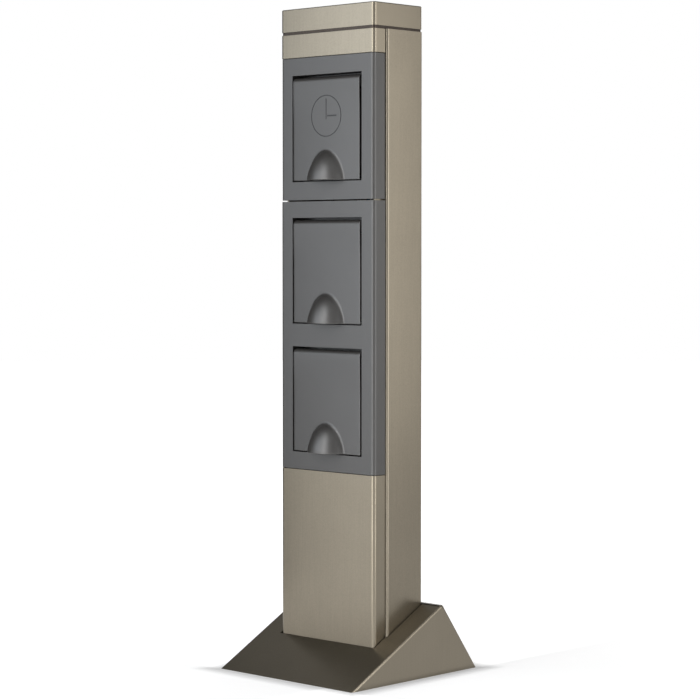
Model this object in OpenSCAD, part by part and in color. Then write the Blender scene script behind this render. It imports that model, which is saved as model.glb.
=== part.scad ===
// Garden socket post: a slim aluminium post on a wedge foot, with a lidded timer and two lidded sockets.
// The origin is on the floor under the middle of the foot, the lids face -Y, and +Z is up.

/* [Post] */
// Width of the housings' frame beside each lid opening
frame_w = 14.5; // [13:0.5:17]
// How far the rear profile stands out past the covers on each side
side_step = 2; // [1:0.5:3]
// Depth of the post from its front face to its back face
post_d = 59.5; // [56:0.5:66]
// Front face of the post, measured from the middle of the foot
front_y = -27.5; // [-30:0.5:-24]
// Depth of the side returns of the front covers
return_d = 14.5; // [13:0.5:16]
// Wall of the front covers
cover_t = 2.5; // [2:0.25:3]
// Wall of the rear profile
profile_t = 2; // [1.5:0.25:3]
// Radius of the vertical corners of the covers and the cap
corner_r = 3.2; // [2.6:0.2:4]
// Radius of the vertical corners of the rear profile
rear_r = 2.2; // [1.6:0.2:3]
// Radius of the four screw channels inside the profile
channel_r = 1.7; // [1.5:0.1:2]
// Distance of the screw channels from the sides of the front covers
channel_side = 8.5; // [7.5:0.5:9.5]

/* [Heights] */
// Height of the lower front panel's top edge over the floor
panel_top = 175.2; // [150:0.2:220]
// Height of the housing that holds the two sockets
socket_housing_h = 234; // [230:1:250]
// Height of the housing that holds the timer
timer_housing_h = 123.4; // [115:0.2:135]
// Height of the metal strip over the timer housing
strip_h = 20.4; // [14:0.2:30]
// Seam between a housing and the metal next to it
seam = 0.4; // [0.2:0.1:0.8]
// Gap between the two housings
mid_gap = 1.2; // [0.8:0.1:2]
// Height of the shadow groove under the cap
groove_h = 2.5; // [1.5:0.25:4]
// How far the groove's collar lies behind the cap's faces
groove_inset = 0.5; // [0.3:0.1:2]
// Height of the cap
cap_h = 19.8; // [16:0.2:28]
// How far the cap stands out over the back of the post
cap_overhang = 2.5; // [0:0.5:4]
// Wall of the cap
cap_t = 3; // [2.5:0.25:4]
// Edge distance that the timer housing is narrower by on each side
timer_inset = 0.4; // [0:0.1:0.8]

/* [Lids and bays] */
// Width of each lid opening
opening_w = 83; // [81:0.5:85]
// Height of each lid opening
opening_h = 92.5; // [90:0.5:95]
// Distance between the two socket openings
bay_pitch = 112.4; // [110:0.2:118]
// How far the openings lie above the middle of their housing
bay_rise = 0.4; // [0:0.1:1.5]
// Gap at each side of a lid
lid_side_gap = 1.3; // [0.8:0.1:1.6]
// Gap under a lid
lid_bottom_gap = 1; // [0.6:0.1:1.6]
// Gap over a lid's rolled top edge
lid_top_gap = 1.5; // [1.3:0.1:2.5]
// Radius of a lid's rolled top edge
barrel_r = 4.6; // [4:0.1:5]
// Thickness of a lid's plate
lid_t = 2.7; // [2.2:0.1:3.2]
// How far a lid stands out from the housing's face
lid_proud = 0.5; // [0:0.1:0.8]
// Depth from the housing's face to the floor of each bay
bay_depth = 15; // [14.5:0.5:16]
// Wall of a bay
bay_t = 2; // [1.5:0.25:2.5]
// Gap between a lid's skirt and the side walls of its bay
skirt_gap = 5.5; // [5:0.25:6.5]
// Wall of a lid's skirt
skirt_t = 1.6; // [1.2:0.1:2]
// Width of the finger grip at its foot
grip_w = 42; // [36:1:46]
// Height of the finger grip
grip_h = 27; // [22:1:30]
// How far the finger grip stands out
grip_out = 13.5; // [10:0.5:14]
// Wall of the finger grip
grip_t = 2; // [1.6:0.1:2.6]
// Diameter of the clock symbol on the timer's lid
symbol_d = 35.5; // [28:0.5:40]

/* [Hinges] */
// Radius of a hinge pin
pin_r = 1.5; // [1.2:0.1:1.7]
// Radial running clearance of a hinge pin in a lid
pin_fit = 0.05; // [0.03:0.01:0.08]
// Wire radius of a lid's spring
wire_r = 0.25; // [0.2:0.05:0.3]
// Number of turns in a lid's spring
spring_turns = 8; // [5:1:10]

/* [Sockets] */
// Gap between the face plate of a socket or the timer and the side walls of its bay
plate_gap = 8.5; // [8.25:0.25:10]
// Gap between that face plate and the inner faces of a lid's skirt, above and below
plate_gap_z = 2.9; // [2.7:0.1:4]
// Thickness of a socket's face plate
plate_t = 3; // [2.5:0.25:3.5]
// Radius of a socket's round recess
recess_r = 19.75; // [19.5:0.25:20.5]
// Depth of a socket's round recess
recess_depth = 17.5; // [15:0.5:18]
// Distance between the two pin holes
pin_pitch = 19; // [18:0.5:20]
// Radius of a socket's pin holes
contact_hole_r = 2.6; // [2.4:0.1:3]

/* [Timer] */
// Distance from the edge of the timer's face plate to its dial, inside the ring of tappets
dial_edge = 7.5; // [7:0.25:10]
// Number of tappets round the dial
tappet_count = 48; // [24:24:96]
// Radial length of a tappet
tappet_l = 3.8; // [2.5:0.1:4]
// Travel of the override slider
slider_travel = 5; // [3:0.5:6]
// Radial running clearance of the dial's spindle
spindle_fit = 0.06; // [0.03:0.01:0.08]

/* [Foot] */
// Width of the foot
foot_w = 160; // [150:1:180]
// Depth of the foot
foot_d = 160; // [150:1:180]
// Height of the foot's ridge over the floor, without its rounding
foot_h = 61.4; // [56:0.2:70]
// Place of the ridge behind the middle of the foot
ridge_y = 34.5; // [34:0.5:40]
// Radius of the ridge
ridge_r = 4; // [3:0.5:6]
// Sheet of the foot
sheet_t = 2; // [1.5:0.25:2.5]
// Gap between the post and the hole in the foot
post_gap = 0.8; // [0.5:0.1:1.5]
// Height of the base tray
tray_h = 8; // [7:0.5:9]
// Sheet of the base tray
tray_t = 3; // [2.5:0.25:3.5]
// Spacing of the floor anchors across the foot
anchor_x = 120; // [112:1:126]
// Spacing of the floor anchors from front to back
anchor_y = 100; // [92:1:104]
// Radius of the floor anchor holes
anchor_r = 4.5; // [3.5:0.25:5.5]
// Radius of the cable's way in
cable_r = 6.5; // [5:0.25:7]

/* [Hidden] */
$fn = 48;
eps = 0.01;
loose = 0.3;
hole_gap = 0.2;

// Widths that follow from the lid openings
front_w = opening_w + 2 * frame_w;
channel_x = front_w / 2 - channel_side;
skirt_w = opening_w - 2 * skirt_gap;
plate_w = opening_w - 2 * plate_gap;

// Places up the post
housing_z = panel_top + seam;
timer_z = housing_z + socket_housing_h + mid_gap;
strip_z = timer_z + timer_housing_h + seam;
post_top = strip_z + strip_h;
cap_z = post_top + groove_h;
bay_margin = (socket_housing_h - opening_h - bay_pitch) / 2;
lower_bay_z = housing_z + bay_margin + bay_rise;
upper_bay_z = lower_bay_z + bay_pitch;
timer_bay_z = timer_z + (timer_housing_h - opening_h) / 2 + bay_rise;

// Rear profile and its lips, which the covers slide on
rear_w = front_w + 2 * side_step;
back_y = front_y + post_d;
lip_x = front_w / 2 - cover_t - timer_inset - loose;
lip_t = 2;
lip_front = 5;
flange_x = opening_w / 2 + bay_t + 1.5;
channel_wall = 1.5;
channel_off = channel_r + channel_wall - 0.2;
channel_front_y = front_y + return_d + profile_t + channel_off;
channel_back_y = back_y - profile_t - channel_off;
return_gap = 0.5;
rib_t = 1.5;
rib_back = 12;

// Lids, measured from the front lower edge of a lid opening
pin_z = opening_h - lid_top_gap - barrel_r;
lid_front = -lid_proud;
pin_y = lid_front + barrel_r;
lid_w = opening_w - 2 * lid_side_gap;
lid_back = lid_front + lid_t;
skirt_low = 4;
skirt_high = pin_z - barrel_r - 2.8;
seal_t = 2;
seal_y = bay_depth - seal_t;
skirt_end = seal_y - loose;
bay_mid_z = (skirt_low + skirt_high) / 2;
plate_h = skirt_high - skirt_low - 2 * skirt_t - 2 * plate_gap_z;
spring_r = (barrel_r + pin_r) / 2 - 0.1;
spring_pocket_r = spring_r + wire_r + hole_gap;
spring_pitch = 1.15;
spring_start = -lid_w / 2 + 1;
spring_end = spring_start + (spring_turns + 0.75) * spring_pitch;
spring_pocket_l = spring_end + lid_w / 2 + 1.5;
spring_reach = 5;
spring_leg = pin_z - skirt_high + skirt_t - 0.1;
grip_power = 1.45;
grip_r = (pow(grip_w / 2, 2) + pow(grip_out, 2)) / (2 * grip_out);
grip_axis = grip_r - grip_out;
grip_steps = 12;
hand_w = 0.7;
symbol_z = opening_h - 36;
engraved = 0.35;

// Sockets and timer, measured the same way
plate_y = bay_depth - plate_t;
recess_end = plate_y + recess_depth;
cup_t = 2;
cup_r = recess_r + cup_t;
block_w = 44;
block_back = recess_end + cup_t + 14;
socket_hole_w = 2 * cup_r + 1;
contact_r = contact_hole_r + 0.7;
contact_l = 12;
clip_w = 8;
clip_t = 0.8;
screw_r = 1.7;
screw_head_r = 3.2;
screw_l = 9;
insert_screw_x = plate_w / 2 - 5;
insert_screw_z = plate_h / 2 - 5;
bezel_t = 2;
bezel_y = bay_depth - bezel_t;
timer_block_w = plate_w - 6;
timer_block_h = plate_h - 6;
timer_neck_w = 2 * cup_r;
timer_block_back = 46;
dial_back = bezel_y - loose;
dial_flange_t = 0.8;
tappet_h = 1.8;
dial_front = dial_back - dial_flange_t - 1.4;
knob_r = 8;
knob_front = dial_front - 2;
spindle_r = 3;
spindle_l = 10;
tappet_gap = 0.7;
dial_r = min(plate_w, plate_h) / 2 - dial_edge;
ring_r = dial_r + tappet_l;
slider_z = -plate_h / 2 + 6;
slider_x = plate_w / 2 - 7;
slider_w = 4;
slider_head = slider_w + 3;
slider_slot_h = 3;
slider_out = 3;

// Foot
ramp_angle = atan2(foot_h, ridge_y + foot_d / 2);
back_angle = atan2(foot_h, foot_d / 2 - ridge_y);
ridge_half = (180 - ramp_angle - back_angle) / 2;
ridge_turn = (ramp_angle - back_angle) / 2;
ridge_steps = 12;
tray_w = foot_w - 2 * sheet_t - 2;
tray_front = -foot_d / 2 + sheet_t / sin(ramp_angle) + (tray_h + 0.6) / tan(ramp_angle);
tray_back = foot_d / 2 - sheet_t / sin(back_angle) - (tray_h + 0.6) / tan(back_angle);
anchor_mid_y = (tray_front + tray_back) / 2 + 3;
tab_w = 18;
tab_l = 22;
tab_t = 2.5;
foot_screw_x = 50;
foot_screw_up = 21;
foot_screw_r = 2;
foot_screw_l = sheet_t + tab_t + 3;
foot_head_r = 3.8;
foot_head_h = 2;

// Bracket, cable gland and terminals
bracket_t = 3;
bracket_h = 70;
bracket_d = 26;
bracket_y = front_y + 37;
bracket_x = rear_w / 2 - profile_t - loose;
bracket_screw_z = [16, 30];
bracket_screw_r = 2;
bracket_head_r = 4;
tray_bolt_x = 36;
tray_bolt_r = 3;
bolt_af = 10;
bolt_head_h = 4;
gland_r = 10;
gland_base = tray_h + bracket_t;
gland_y = bracket_y;
nut_af = 24;
gland_body_h = 14;
gland_nut_h = 16;
seal_wall = 2.2;
rail_drop = 45;
rail_z = panel_top - rail_drop;
rail_head_r = 3.6;
rail_screw_r = 2;
rail_l = 70;
rail_d = 7.5;
rail_w = 35;
terminal_w = 6.2;
terminal_h = 44;
terminal_front = 14;
wire_bend = 5;
conductor_r = 1.4;
conductor_gap = 7;
clamp_up = terminal_h / 2;
wire_in = terminal_front + 14;
wire_over = clamp_up + 9;
wire_apart = wire_over + 15;
trunk_y = front_y + post_d - profile_t - 4.5;

// Colours
metal = "#9c9382";
metal_dark = "#5a5348";
plastic = "#6c6c6e";
steel = "#b9bcc0";
brass = "#c8a04a";

// Flat outlines
module rounded_rect(w, d, r) {
    square([w - 2 * r, d], center = true);
    square([w, d - 2 * r], center = true);
    for (x = [-1, 1])
        for (y = [-1, 1])
            translate([x * (w / 2 - r), y * (d / 2 - r)]) circle(r);
}

// A strip of width w from y = 0 back to y = d, with its two front corners round
module front_outline(w, d, r) {
    translate([-w / 2, r]) square([w, d - r]);
    translate([-w / 2 + r, 0]) square([w - 2 * r, r + eps]);
    for (x = [-1, 1])
        translate([x * (w / 2 - r), r]) circle(r);
}

// Plan of a front cover with the inner ribs that grip the profile's lips
module cover_plan(inset) {
    w = front_w - 2 * inset;
    difference() {
        front_outline(w, return_d - return_gap, corner_r);
        translate([0, cover_t])
            front_outline(w - 2 * cover_t, return_d, max(corner_r - cover_t, 0.4));
    }
    for (x = [-1, 1])
        translate([x * (lip_x - lip_t - loose - rib_t / 2) - rib_t / 2, cover_t - eps])
            square([rib_t, rib_back - cover_t]);
}

module rear_plan() {
    difference() {
        union() {
            difference() {
                translate([0, (return_d + post_d) / 2])
                    rounded_rect(rear_w, post_d - return_d, rear_r);
                translate([-rear_w / 2 + profile_t, return_d + profile_t])
                    square([rear_w - 2 * profile_t, post_d - return_d - 2 * profile_t]);
                translate([-flange_x, return_d - 1])
                    square([2 * flange_x, profile_t + 2]);
            }
            for (x = [-1, 1]) {
                translate([x * (lip_x - lip_t / 2) - lip_t / 2, lip_front])
                    square([lip_t, return_d + profile_t - lip_front]);
                for (y = [channel_front_y, channel_back_y])
                    translate([x * channel_x, y - front_y]) circle(channel_r + channel_wall);
            }
        }
        for (x = [-1, 1])
            for (y = [channel_front_y, channel_back_y])
                translate([x * channel_x, y - front_y]) circle(channel_r);
    }
}

// Outline of the whole post grown by g, for the hole in the foot
module post_hole(g) {
    translate([-front_w / 2 - g, front_y - g]) square([front_w + 2 * g, return_d + g]);
    translate([-rear_w / 2 - g, front_y + return_d - g])
        square([rear_w + 2 * g, post_d - return_d + 2 * g]);
}

// A countersunk screw that points along -Z, with its flat head's top at z = 0
module countersunk(r, head_r, l) {
    difference() {
        union() {
            translate([0, 0, -l]) cylinder(r = r, h = l);
            translate([0, 0, r - head_r]) cylinder(r1 = r, r2 = head_r, h = head_r - r);
        }
        for (a = [0, 90])
            rotate([0, 0, a])
                translate([-head_r * 0.6, -0.35, -1]) cube([head_r * 1.2, 0.7, 2]);
    }
}

// The space that such a screw needs
module countersink(r, head_r, l) {
    translate([0, 0, -l]) cylinder(r = r + hole_gap, h = l + 1);
    translate([0, 0, r - head_r]) cylinder(r1 = r + hole_gap, r2 = head_r + hole_gap, h = head_r - r);
    cylinder(r = head_r + hole_gap, h = 5);
}

// Rear profile
module rear_profile() {
    color(metal)
        difference() {
            translate([0, front_y, tray_h + bracket_t + loose])
                linear_extrude(post_top - tray_h - bracket_t - loose) rear_plan();
            for (x = [-1, 1])
                for (z = bracket_screw_z)
                    translate([x * rear_w / 2, bracket_y, tray_h + z])
                        rotate([0, x * 90, 0])
                            countersink(bracket_screw_r, bracket_head_r, profile_t + 1);
        }
}

// Cap, collar and their screws
module cap_screw_places() {
    for (x = [-1, 1])
        for (y = [channel_front_y, channel_back_y])
            translate([x * channel_x, y, 0]) children();
}

module top_cap() {
    cap_d = post_d + cap_overhang;
    mid_y = front_y + cap_d / 2;
    color(metal)
        difference() {
            union() {
                difference() {
                    translate([0, mid_y, cap_z])
                        linear_extrude(cap_h) rounded_rect(front_w, cap_d, corner_r);
                    translate([0, mid_y, cap_z - 1])
                        linear_extrude(cap_h - cap_t + 1)
                            rounded_rect(front_w - 2 * cap_t, cap_d - 2 * cap_t, 1);
                }
                cap_screw_places()
                    translate([0, 0, cap_z]) cylinder(r = screw_head_r + 1.6, h = cap_h - cap_t + 1);
            }
            cap_screw_places()
                translate([0, 0, cap_z + cap_h]) countersink(channel_r - 0.1, screw_head_r, cap_h + 2);
        }
}

module cap_collar() {
    w = front_w - 2 * groove_inset;
    d = post_d + cap_overhang - 2 * groove_inset;
    plug_w = 2 * (channel_x - channel_r - channel_wall - 0.8);
    plug_front = channel_front_y + 1;
    plug_back = back_y - profile_t - 0.8;
    color(metal_dark)
        difference() {
            union() {
                translate([0, front_y + (post_d + cap_overhang) / 2, post_top])
                    linear_extrude(groove_h) rounded_rect(w, d, corner_r);
                translate([-plug_w / 2, plug_front, post_top - 8])
                    cube([plug_w, plug_back - plug_front, 8 + eps]);
            }
            translate([-plug_w / 2 + 2, plug_front + 2, post_top - 9])
                cube([plug_w - 4, plug_back - plug_front - 4, 9]);
            cap_screw_places()
                translate([0, 0, post_top - 1]) cylinder(r = channel_r + hole_gap, h = groove_h + 2);
        }
}

module cap_screws() {
    color(steel)
        cap_screw_places()
            translate([0, 0, cap_z + cap_h])
                countersunk(channel_r - 0.1, screw_head_r, cap_h + groove_h + 14);
}

// Front covers
module upper_front_strip() {
    color(metal)
        translate([0, front_y, strip_z]) linear_extrude(strip_h) cover_plan(0);
}

module lower_front_panel() {
    color(metal)
        translate([0, front_y, tray_h + bracket_t + loose])
            linear_extrude(panel_top - tray_h - bracket_t - loose) cover_plan(0);
}

// One bay: a box behind a lid opening, from the housing's face to the bay's floor
module bay_walls() {
    translate([-opening_w / 2 - bay_t, cover_t - eps, -bay_t])
        cube([opening_w + 2 * bay_t, bay_depth + bay_t - cover_t, opening_h + 2 * bay_t]);
}

module bay_hollow() {
    translate([-opening_w / 2, -1, 0]) cube([opening_w, bay_depth + 1, opening_h]);
    translate([-socket_hole_w / 2, bay_depth - 1, bay_mid_z - socket_hole_w / 2])
        cube([socket_hole_w, bay_t + 2, socket_hole_w]);
    translate([-opening_w / 2 - bay_t - 1, pin_y + spring_reach, pin_z - spring_r])
        rotate([0, 90, 0]) cylinder(r = wire_r + hole_gap, h = bay_t + 2);
    translate([0, pin_y, pin_z]) rotate([0, 90, 0])
        cylinder(r = pin_r + pin_fit, h = opening_w + 2 * bay_t + 2, center = true);
    insert_screw_places()
        rotate([90, 0, 0]) translate([0, 0, -bay_depth - bay_t - 1])
            cylinder(r = screw_r + 0.05, h = bay_t + 2);
}

module insert_screw_places() {
    for (x = [-1, 1])
        translate([x * insert_screw_x, 0, bay_mid_z + x * insert_screw_z]) children();
}

module housing(h, inset, bays) {
    w = front_w - 2 * inset;
    difference() {
        union() {
            linear_extrude(h) cover_plan(inset);
            for (z = [0, h - cover_t])
                translate([0, 0, z])
                    linear_extrude(cover_t)
                        translate([0, 0.5])
                            intersection() {
                                front_outline(w - 1, corner_r + 1, corner_r);
                                translate([-w / 2, 0]) square([w, lip_front - 1]);
                            }
            for (z = bays)
                translate([0, 0, z]) bay_walls();
        }
        for (z = bays)
            translate([0, 0, z]) bay_hollow();
    }
}

module timer_housing() {
    color(plastic)
        translate([0, front_y, timer_z])
            difference() {
                housing(timer_housing_h, timer_inset, [timer_bay_z - timer_z]);
                translate([slider_x - slider_travel - slider_head / 2 - 0.5, bay_depth - 1,
                        timer_bay_z - timer_z + bay_mid_z + slider_z - slider_slot_h / 2 - 1.5])
                    cube([slider_travel + slider_head + 1, bay_t + 2, slider_slot_h + 3]);
            }
}

module socket_housing() {
    color(plastic)
        translate([0, front_y, housing_z])
            housing(socket_housing_h, 0, [lower_bay_z - housing_z, upper_bay_z - housing_z]);
}

// Lids, drawn from the front lower edge of a lid opening
function grip_share(t) = pow(1 - pow(t, grip_power), 0.5);
function grip_radius(t) =
    sqrt(pow(grip_w / 2 * grip_share(t), 2) + pow(grip_axis, 2));

// A bell that narrows upwards, of which the part in front of the lid is the grip
module grip_bell(shrink) {
    top = grip_h - shrink;
    points = [for (i = [0 : grip_steps]) [
        grip_radius(i / grip_steps) - shrink,
        top * i / grip_steps
    ]];
    intersection() {
        translate([0, grip_axis, 0])
            rotate_extrude()
                polygon(concat([[0, 0]], points, [[0, top]]));
        translate([-grip_w, -grip_out - 1, -1]) cube([2 * grip_w, grip_out + 1 + eps, grip_h + 2]);
    }
}

module lid() {
    difference() {
        union() {
            translate([-lid_w / 2, lid_front, lid_bottom_gap])
                cube([lid_w, lid_t, pin_z - lid_bottom_gap]);
            translate([0, pin_y, pin_z]) rotate([0, 90, 0])
                cylinder(r = barrel_r, h = lid_w, center = true);
            difference() {
                translate([-skirt_w / 2, lid_back - eps, skirt_low])
                    cube([skirt_w, skirt_end - lid_back, skirt_high - skirt_low]);
                translate([-skirt_w / 2 + skirt_t, lid_back - 1, skirt_low + skirt_t])
                    cube([
                        skirt_w - 2 * skirt_t, skirt_end,
                        skirt_high - skirt_low - 2 * skirt_t
                    ]);
            }
            translate([0, lid_front, lid_bottom_gap]) grip_bell(0);
        }
        translate([0, lid_front - 0.4, lid_bottom_gap - eps]) grip_bell(grip_t);
        translate([0, pin_y, pin_z]) rotate([0, 90, 0])
            cylinder(r = pin_r + pin_fit, h = lid_w + 2, center = true);
        translate([-lid_w / 2 - 1, pin_y, pin_z]) rotate([0, 90, 0])
            cylinder(r = spring_pocket_r, h = spring_pocket_l + 1);
        translate([-lid_w / 2 - 1, pin_y, pin_z - barrel_r - 1])
            cube([3, barrel_r + 1, 2 * barrel_r + 2]);
        translate([spring_end - 0.6, pin_y + spring_r - 0.6, pin_z - barrel_r - 1])
            cube([1.2, barrel_r, barrel_r + 1.5]);
        translate([spring_end, pin_y + spring_r, skirt_high - skirt_t - 1])
            cylinder(r = wire_r + hole_gap, h = skirt_t + 2);
    }
}

// A thin clock face cut into the timer's lid
module clock_symbol() {
    translate([0, lid_front - 1, symbol_z]) {
        rotate([-90, 0, 0])
            difference() {
                cylinder(r = symbol_d / 2 + hand_w / 2, h = 1 + engraved);
                translate([0, 0, -1]) cylinder(r = symbol_d / 2 - hand_w / 2, h = 3 + engraved);
            }
        translate([-hand_w / 2, 0, -3]) cube([hand_w, 1 + engraved, symbol_d / 2]);
        translate([1.5, 0, -hand_w / 2]) cube([symbol_d / 2 - 7.5, 1 + engraved, hand_w]);
    }
}

module timer_lid() {
    color(plastic)
        translate([0, front_y, timer_bay_z])
            difference() {
                lid();
                clock_symbol();
            }
}

module upper_socket_lid() {
    color(plastic) translate([0, front_y, upper_bay_z]) lid();
}

module lower_socket_lid() {
    color(plastic) translate([0, front_y, lower_bay_z]) lid();
}

module hinge_pin(bay_z) {
    color(steel)
        translate([0, front_y + pin_y, bay_z + pin_z]) rotate([0, 90, 0])
            cylinder(r = pin_r, h = opening_w + 2 * bay_t + 1, center = true);
}

module timer_lid_pin() { hinge_pin(timer_bay_z); }
module upper_lid_pin() { hinge_pin(upper_bay_z); }
module lower_lid_pin() { hinge_pin(lower_bay_z); }

// Torsion spring: one unbroken wire, wound round the pin, with a straight leg at each end
spring_sides = 6;
spring_rings = 8;
function spring_path() = concat(
    [[-bay_t - 1.5, spring_reach, -spring_r], [0, spring_reach, -spring_r]],
    [for (i = [0 : (spring_turns + 0.75) * spring_rings])
        let(a = 360 * i / spring_rings)
        [spring_pitch * i / spring_rings, -spring_r * sin(a), -spring_r * cos(a)]],
    [[spring_end - spring_start, spring_r, -spring_leg]]
);
function unit(v) = v / norm(v);
function ring_at(p, d, r, n) =
    let(side = unit(cross(d, [1, 0.01, 0.02])), up = cross(d, side))
    [for (k = [0 : n - 1]) p + r * (cos(360 * k / n) * side + sin(360 * k / n) * up)];

module round_wire(path, r, n) {
    last = len(path) - 1;
    dirs = [for (i = [0 : last])
        unit(path[min(i + 1, last)] - path[max(i - 1, 0)])];
    points = [for (i = [0 : last]) each ring_at(path[i], dirs[i], r, n)];
    sides = [for (i = [0 : last - 1]) for (k = [0 : n - 1])
        let(a = i * n + k, b = i * n + (k + 1) % n)
        each [[a, b, b + n], [a, b + n, a + n]]];
    polyhedron(points, concat(
        [[for (k = [n - 1 : -1 : 0]) k]], sides, [[for (k = [0 : n - 1]) last * n + k]]
    ));
}

module lid_spring(bay_z) {
    color(steel)
        translate([spring_start, front_y + pin_y, bay_z + pin_z])
            round_wire(spring_path(), wire_r, spring_sides);
}

module timer_lid_spring() { lid_spring(timer_bay_z); }
module upper_lid_spring() { lid_spring(upper_bay_z); }
module lower_lid_spring() { lid_spring(lower_bay_z); }

module lid_seals() {
    outer_w = skirt_w + 3;
    inner_w = plate_w + 1.2;
    high = skirt_high - skirt_low;
    inner_h = plate_h + 3.2;
    color("#2c2c2e")
        for (z = [lower_bay_z, upper_bay_z, timer_bay_z])
            translate([0, front_y + bay_depth, z + bay_mid_z]) rotate([90, 0, 0])
                linear_extrude(seal_t)
                    difference() {
                        rounded_rect(outer_w, high + 3, 3);
                        rounded_rect(inner_w, inner_h, 2);
                    }
}

// Sockets
module socket_insert(bay_z) {
    color("#3a3a3c")
        translate([0, front_y, bay_z + bay_mid_z]) rotate([-90, 0, 0])
            difference() {
                union() {
                    translate([0, 0, plate_y])
                        linear_extrude(plate_t) rounded_rect(plate_w, plate_h, 4);
                    translate([0, 0, bay_depth - eps])
                        cylinder(r = cup_r, h = recess_end + cup_t - bay_depth, $fn = 96);
                    translate([-block_w / 2, -block_w / 2, recess_end + eps])
                        cube([block_w, block_w, block_back - recess_end - eps]);
                }
                translate([0, 0, plate_y - 1])
                    cylinder(r = recess_r, h = recess_depth + 1, $fn = 96);
                for (x = [-1, 1]) {
                    translate([x * pin_pitch / 2, 0, recess_end - 1])
                        cylinder(r = contact_hole_r, h = cup_t + 2);
                    translate([x * pin_pitch / 2, 0, recess_end + cup_t])
                        cylinder(r = contact_r + hole_gap, h = 14 + 1);
                    translate([-clip_w / 2 - hole_gap, x * (recess_r + clip_t / 2) - clip_t / 2 - 0.6,
                            plate_y + plate_t])
                        cube([clip_w + 2 * hole_gap, clip_t + 1.2, recess_depth - plate_t + eps]);
                    translate([x * insert_screw_x, -x * insert_screw_z, plate_y])
                        mirror([0, 0, 1]) countersink(screw_r, screw_head_r, plate_t + 1);
                }
            }
}

module upper_socket_insert() { socket_insert(upper_bay_z); }
module lower_socket_insert() { socket_insert(lower_bay_z); }

module socket_contacts() {
    color(brass)
        for (z = [lower_bay_z, upper_bay_z])
            for (x = [-1, 1])
                translate([x * pin_pitch / 2, front_y + recess_end + cup_t, z + bay_mid_z])
                    rotate([-90, 0, 0])
                        difference() {
                            cylinder(r = contact_r, h = contact_l);
                            translate([0, 0, -1]) cylinder(r = contact_hole_r - 0.1, h = contact_l - 1);
                            translate([-0.4, -contact_r - 1, -1])
                                cube([0.8, 2 * contact_r + 2, contact_l - 2]);
                        }
}

module earth_clips() {
    color(brass)
        for (z = [lower_bay_z, upper_bay_z])
            for (s = [-1, 1])
                translate([-clip_w / 2, front_y + plate_y + plate_t,
                        z + bay_mid_z + s * (recess_r + clip_t / 2 + 0.25) - clip_t / 2])
                    cube([clip_w, recess_depth - plate_t - loose, clip_t]);
}

module insert_screws() {
    color(steel)
        for (z = [lower_bay_z, upper_bay_z, timer_bay_z])
            translate([0, front_y + (z == timer_bay_z ? bezel_y : plate_y), z])
                insert_screw_places()
                    rotate([90, 0, 0]) countersunk(screw_r, screw_head_r, screw_l);
}

// Timer, drawn about the middle of its face with the depth along +Z
module timer_place() {
    translate([0, front_y, timer_bay_z + bay_mid_z]) rotate([-90, 0, 0]) children();
}

module timer_bezel() {
    color("#e6e6e2")
        timer_place()
            difference() {
                translate([0, 0, bezel_y]) linear_extrude(bezel_t) rounded_rect(plate_w, plate_h, 4);
                translate([0, 0, bezel_y - 1])
                    cylinder(r = spindle_r + spindle_fit, h = bezel_t + 2);
                translate([slider_x - slider_w / 2 - slider_travel - hole_gap,
                        -slider_z - slider_slot_h / 2, bezel_y - 1])
                    cube([slider_w + slider_travel + 2 * hole_gap, slider_slot_h, bezel_t + 2]);
                for (x = [-1, 1])
                    translate([x * insert_screw_x, -x * insert_screw_z, bezel_y])
                        mirror([0, 0, 1]) countersink(screw_r, screw_head_r, bezel_t + 1);
            }
}

module timer_body() {
    color("#d8d8d4")
        timer_place()
            difference() {
                union() {
                    translate([-timer_neck_w / 2, -timer_neck_w / 2, bay_depth])
                        cube([timer_neck_w, timer_neck_w, bay_t + 1]);
                    translate([-timer_block_w / 2, -timer_block_h / 2, bay_depth + bay_t])
                        cube([timer_block_w, timer_block_h, timer_block_back - bay_depth - bay_t]);
                }
                translate([0, 0, bay_depth - 1])
                    cylinder(r = spindle_r + 1, h = spindle_l + 1);
                for (x = [-1, 1])
                    translate([x * insert_screw_x, -x * insert_screw_z, bay_depth])
                        cylinder(r = screw_r + 0.05, h = bay_t + 6);
            }
}

module timer_dial() {
    color("#f0f0ec")
        timer_place() {
            translate([0, 0, dial_back - dial_flange_t]) cylinder(r = ring_r, h = dial_flange_t, $fn = 96);
            translate([0, 0, dial_front]) cylinder(r = dial_r, h = dial_back - dial_front, $fn = 96);
            translate([0, 0, knob_front])
                difference() {
                    cylinder(r = knob_r, h = dial_back - knob_front);
                    for (a = [0 : 30 : 359])
                        rotate([0, 0, a]) translate([knob_r + 0.6, 0, -1]) cylinder(r = 1.2, h = 2.8);
                }
            translate([0, 0, dial_back - eps]) cylinder(r = spindle_r, h = spindle_l);
        }
}

module timer_tappets() {
    width = 2 * PI * dial_r / tappet_count - tappet_gap;
    color("#3f6fb0")
        timer_place()
            for (i = [0 : tappet_count - 1])
                rotate([0, 0, 360 * i / tappet_count])
                    translate([dial_r, -width / 2, dial_back - dial_flange_t - tappet_h])
                        cube([tappet_l, width, tappet_h]);
}

module timer_pointer() {
    color("#c03030")
        timer_place()
            translate([0, -ring_r - 0.5, bezel_y - 1])
                linear_extrude(1) polygon([[0, 0], [2, -3], [-2, -3]]);
}

module override_slider() {
    color("#c03030")
        timer_place() {
            translate([slider_x - slider_w / 2, -slider_z - slider_slot_h / 2 + hole_gap, bezel_y - slider_out])
                cube([slider_w, slider_slot_h - 2 * hole_gap, slider_out + bezel_t + 1]);
            translate([slider_x - slider_head / 2, -slider_z - slider_slot_h / 2 - 1, bay_depth + loose])
                cube([slider_head, slider_slot_h + 2, bay_t - 2 * loose]);
        }
}

// Terminals on their rail
module rail_place() {
    translate([0, back_y - profile_t, rail_z]) children();
}

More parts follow.
